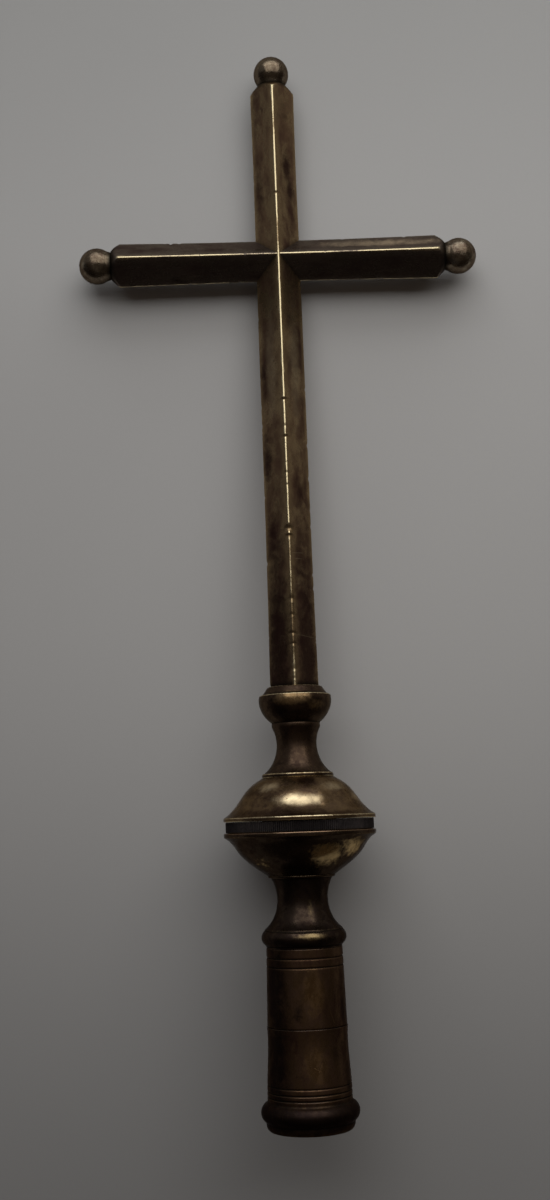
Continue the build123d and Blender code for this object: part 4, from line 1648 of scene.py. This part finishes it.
def pale_material():
    """A faintly uneven pale finish, clear from the back, with painted shade at foot, head and left."""
    material = bpy.data.materials.new("pale_sheet")
    bench = bench_on(material)
    place = bench.add("ShaderNodeTexCoord").outputs["Object"]
    height = bench.add("ShaderNodeSeparateXYZ")
    bench.feed(height.inputs[0], place)
    soft = bench.cloud(place, 4.0, detail=3.0)
    grain = bench.cloud(place, 900.0, detail=4.0)
    shade = bench.blend(soft, (0.605, 0.60, 0.60, 1), (0.665, 0.66, 0.655, 1))
    shade = bench.blend(bench.sum("MULTIPLY", grain, 0.12), shade, (0.45, 0.45, 0.45, 1))
    # Painted shade: the sheet darkens towards its foot, its head and its left, where less light falls.
    painted_shade_at_foot = bench.between(height.outputs[2], -0.08, 0.24, 0.5, 0.0)
    shade = bench.blend(painted_shade_at_foot, shade, (0.12, 0.12, 0.125, 1))
    head = bench.between(height.outputs[2], 0.32, 0.62, 0.0, 0.5)
    shade = bench.blend(head, shade, (0.22, 0.225, 0.22, 1))
    painted_shade_leftwards = bench.between(height.outputs[0], 0.12, -0.22, 0.0, 0.16)
    shade = bench.blend(painted_shade_leftwards, shade, (0.18, 0.18, 0.19, 1))
    bump = bench.add("ShaderNodeBump")
    bump.inputs["Strength"].default_value = 0.2
    bump.inputs["Distance"].default_value = 0.1 * MM
    bench.feed(bump.inputs["Height"], grain)
    shader = bench.add("ShaderNodeBsdfPrincipled")
    shader.inputs["Roughness"].default_value = 0.85
    bench.feed(shader.inputs["Base Color"], shade)
    bench.feed(shader.inputs["Normal"], bump.outputs["Normal"])
    clear = bench.add("ShaderNodeBsdfTransparent")
    side = bench.add("ShaderNodeNewGeometry").outputs["Backfacing"]
    either = bench.add("ShaderNodeMixShader")
    bench.feed(either.inputs[0], side)
    bench.feed(either.inputs[1], shader.outputs[0])
    bench.feed(either.inputs[2], clear.outputs[0])
    surface = bench.add("ShaderNodeOutputMaterial")
    bench.feed(surface.inputs["Surface"], either.outputs[0])
    return material


def pale_floor():
    """The sheet behind the cross, bent to follow floor_depth."""
    verts, faces = [], []
    rows = round(2 * FLOOR_HALF / FLOOR_ROW)
    for row in range(rows + 1):
        z = -FLOOR_HALF + row * FLOOR_ROW
        verts += [(-FLOOR_HALF, floor_depth(z), z), (FLOOR_HALF, floor_depth(z), z)]
    for row in range(rows):
        k = 2 * row
        faces.append((k, k + 1, k + 3, k + 2))
    mesh = bpy.data.meshes.new("pale_floor")
    mesh.from_pydata(verts, [], faces)
    mesh.polygons.foreach_set("use_smooth", [True] * len(faces))
    sheet = placed("pale_floor", mesh)
    dress(sheet, pale_material())
    return sheet


floor = pale_floor()
print("floor faces:", [round(c, 3) for c in floor.data.polygons[0].normal])

# %% [markdown]
# Two soft panels light it. A wide one in front and above gives the sheet its even tone and the
# shadows their long soft edges. A smaller, brighter one stands higher, as a window does, and
# makes the highlights. Each is given by its bearing, its elevation and how bright its face is,
# since that brightness is what polished metal shows. Power then follows from the area.

# %% Set the lights
HEART = Vector((0, 0, 0.32))


def panel(name, bearing, elevation, distance, wide, tall, glow, colour):
    """A soft rectangular light that looks at the heart of the cross."""
    a, e = math.radians(bearing), math.radians(elevation)
    way = Vector((math.sin(a) * math.cos(e), -math.cos(a) * math.cos(e), math.sin(e)))
    data = bpy.data.lights.new(name, "AREA")
    data.shape = "RECTANGLE"
    data.size, data.size_y = wide, tall
    data.energy = glow * wide * tall * math.pi
    data.color = colour
    lamp = placed(name, data)
    lamp.location = HEART + way * distance
    lamp.rotation_mode = "QUATERNION"
    lamp.rotation_quaternion = (-way).to_track_quat("-Z", "Y")
    return lamp


SKY_COLOUR, WINDOW_COLOUR = (1.0, 0.99, 0.97), (0.97, 0.99, 1.0)
sky = {"bearing": 7, "elevation": 34, "distance": 1.0, "wide": 1.6, "tall": 0.95, "glow": 1.17}
window = {"bearing": 5, "elevation": 64, "distance": 1.1, "wide": 1.4, "tall": 0.5, "glow": 1.35}
panel("wide_sky", **sky, colour=SKY_COLOUR)
panel("window", **window, colour=WINDOW_COLOUR)


def grey_room():
    """Pale where the camera looks past everything; for the metal, dim and brighter upwards."""
    world = bpy.data.worlds.new("grey_room")
    bpy.context.scene.world = world
    bench = bench_on(world)
    seen = bench.add("ShaderNodeLightPath").outputs["Is Camera Ray"]
    way = bench.add("ShaderNodeTexCoord").outputs["Generated"]
    parts = bench.add("ShaderNodeSeparateXYZ")
    bench.feed(parts.inputs[0], way)
    above = bench.between(parts.outputs[2], 0.10, 0.24)
    rightwards = bench.between(parts.outputs[0], -0.8, 0.8)
    ahead = bench.between(parts.outputs[1], -0.4, -0.9)
    low = bench.blend(rightwards, (0.012, 0.009, 0.010, 1), (0.022, 0.016, 0.011, 1))
    low = bench.blend(ahead, low, (0.060, 0.048, 0.038, 1))
    high = bench.blend(rightwards, (0.165, 0.165, 0.17, 1), (0.19, 0.17, 0.145, 1))
    dim = bench.add("ShaderNodeBackground")
    bench.feed(dim.inputs["Color"], bench.blend(above, low, high))
    pale = bench.add("ShaderNodeBackground")
    pale.inputs["Color"].default_value = (0.24, 0.24, 0.235, 1)
    either = bench.add("ShaderNodeMixShader")
    bench.feed(either.inputs[0], seen)
    bench.feed(either.inputs[1], dim.outputs[0])
    bench.feed(either.inputs[2], pale.outputs[0])
    surface = bench.add("ShaderNodeOutputWorld")
    bench.feed(surface.inputs["Surface"], either.outputs[0])


grey_room()
bpy.context.scene.view_settings.view_transform = "Standard"

# %% [markdown]
# The camera looks almost straight at the cross from a little below its middle, tilted up and
# slightly rolled, as a hand-held one is. Its axes are worked out from those three angles.

# %% Aim the camera
LENS_MM = 43.7
SENSOR_MM = 36.0
CAMERA_PLACE = Vector((-0.0202, -0.6737, 0.1347))
YAW, PITCH, ROLL = (math.radians(a) for a in (1.08, 8.68, -2.11))


def camera_axes():
    """Right, up and back of the camera as a rotation."""
    ahead = Vector(
        (math.sin(YAW) * math.cos(PITCH), math.cos(YAW) * math.cos(PITCH), math.sin(PITCH))
    )
    right = Vector((math.cos(YAW), -math.sin(YAW), 0))
    up = right.cross(ahead)
    rolled_right = right * math.cos(ROLL) + up * math.sin(ROLL)
    rolled_up = up * math.cos(ROLL) - right * math.sin(ROLL)
    return Matrix((rolled_right, rolled_up, -ahead)).transposed()


camera_data = bpy.data.cameras.new("camera")
camera_data.lens = LENS_MM
camera_data.sensor_width = SENSOR_MM
camera = placed("camera", camera_data)
camera.matrix_world = Matrix.Translation(CAMERA_PLACE) @ camera_axes().to_4x4()
bpy.context.scene.camera = camera
print("camera at", [round(c, 3) for c in camera.location])

# %% [markdown]
# The box of the frame, measured at the start, is printed.

# %% Print the frame's box
print("frame box", [[round(v / MM, 2) for v in c] for c in frame_box])
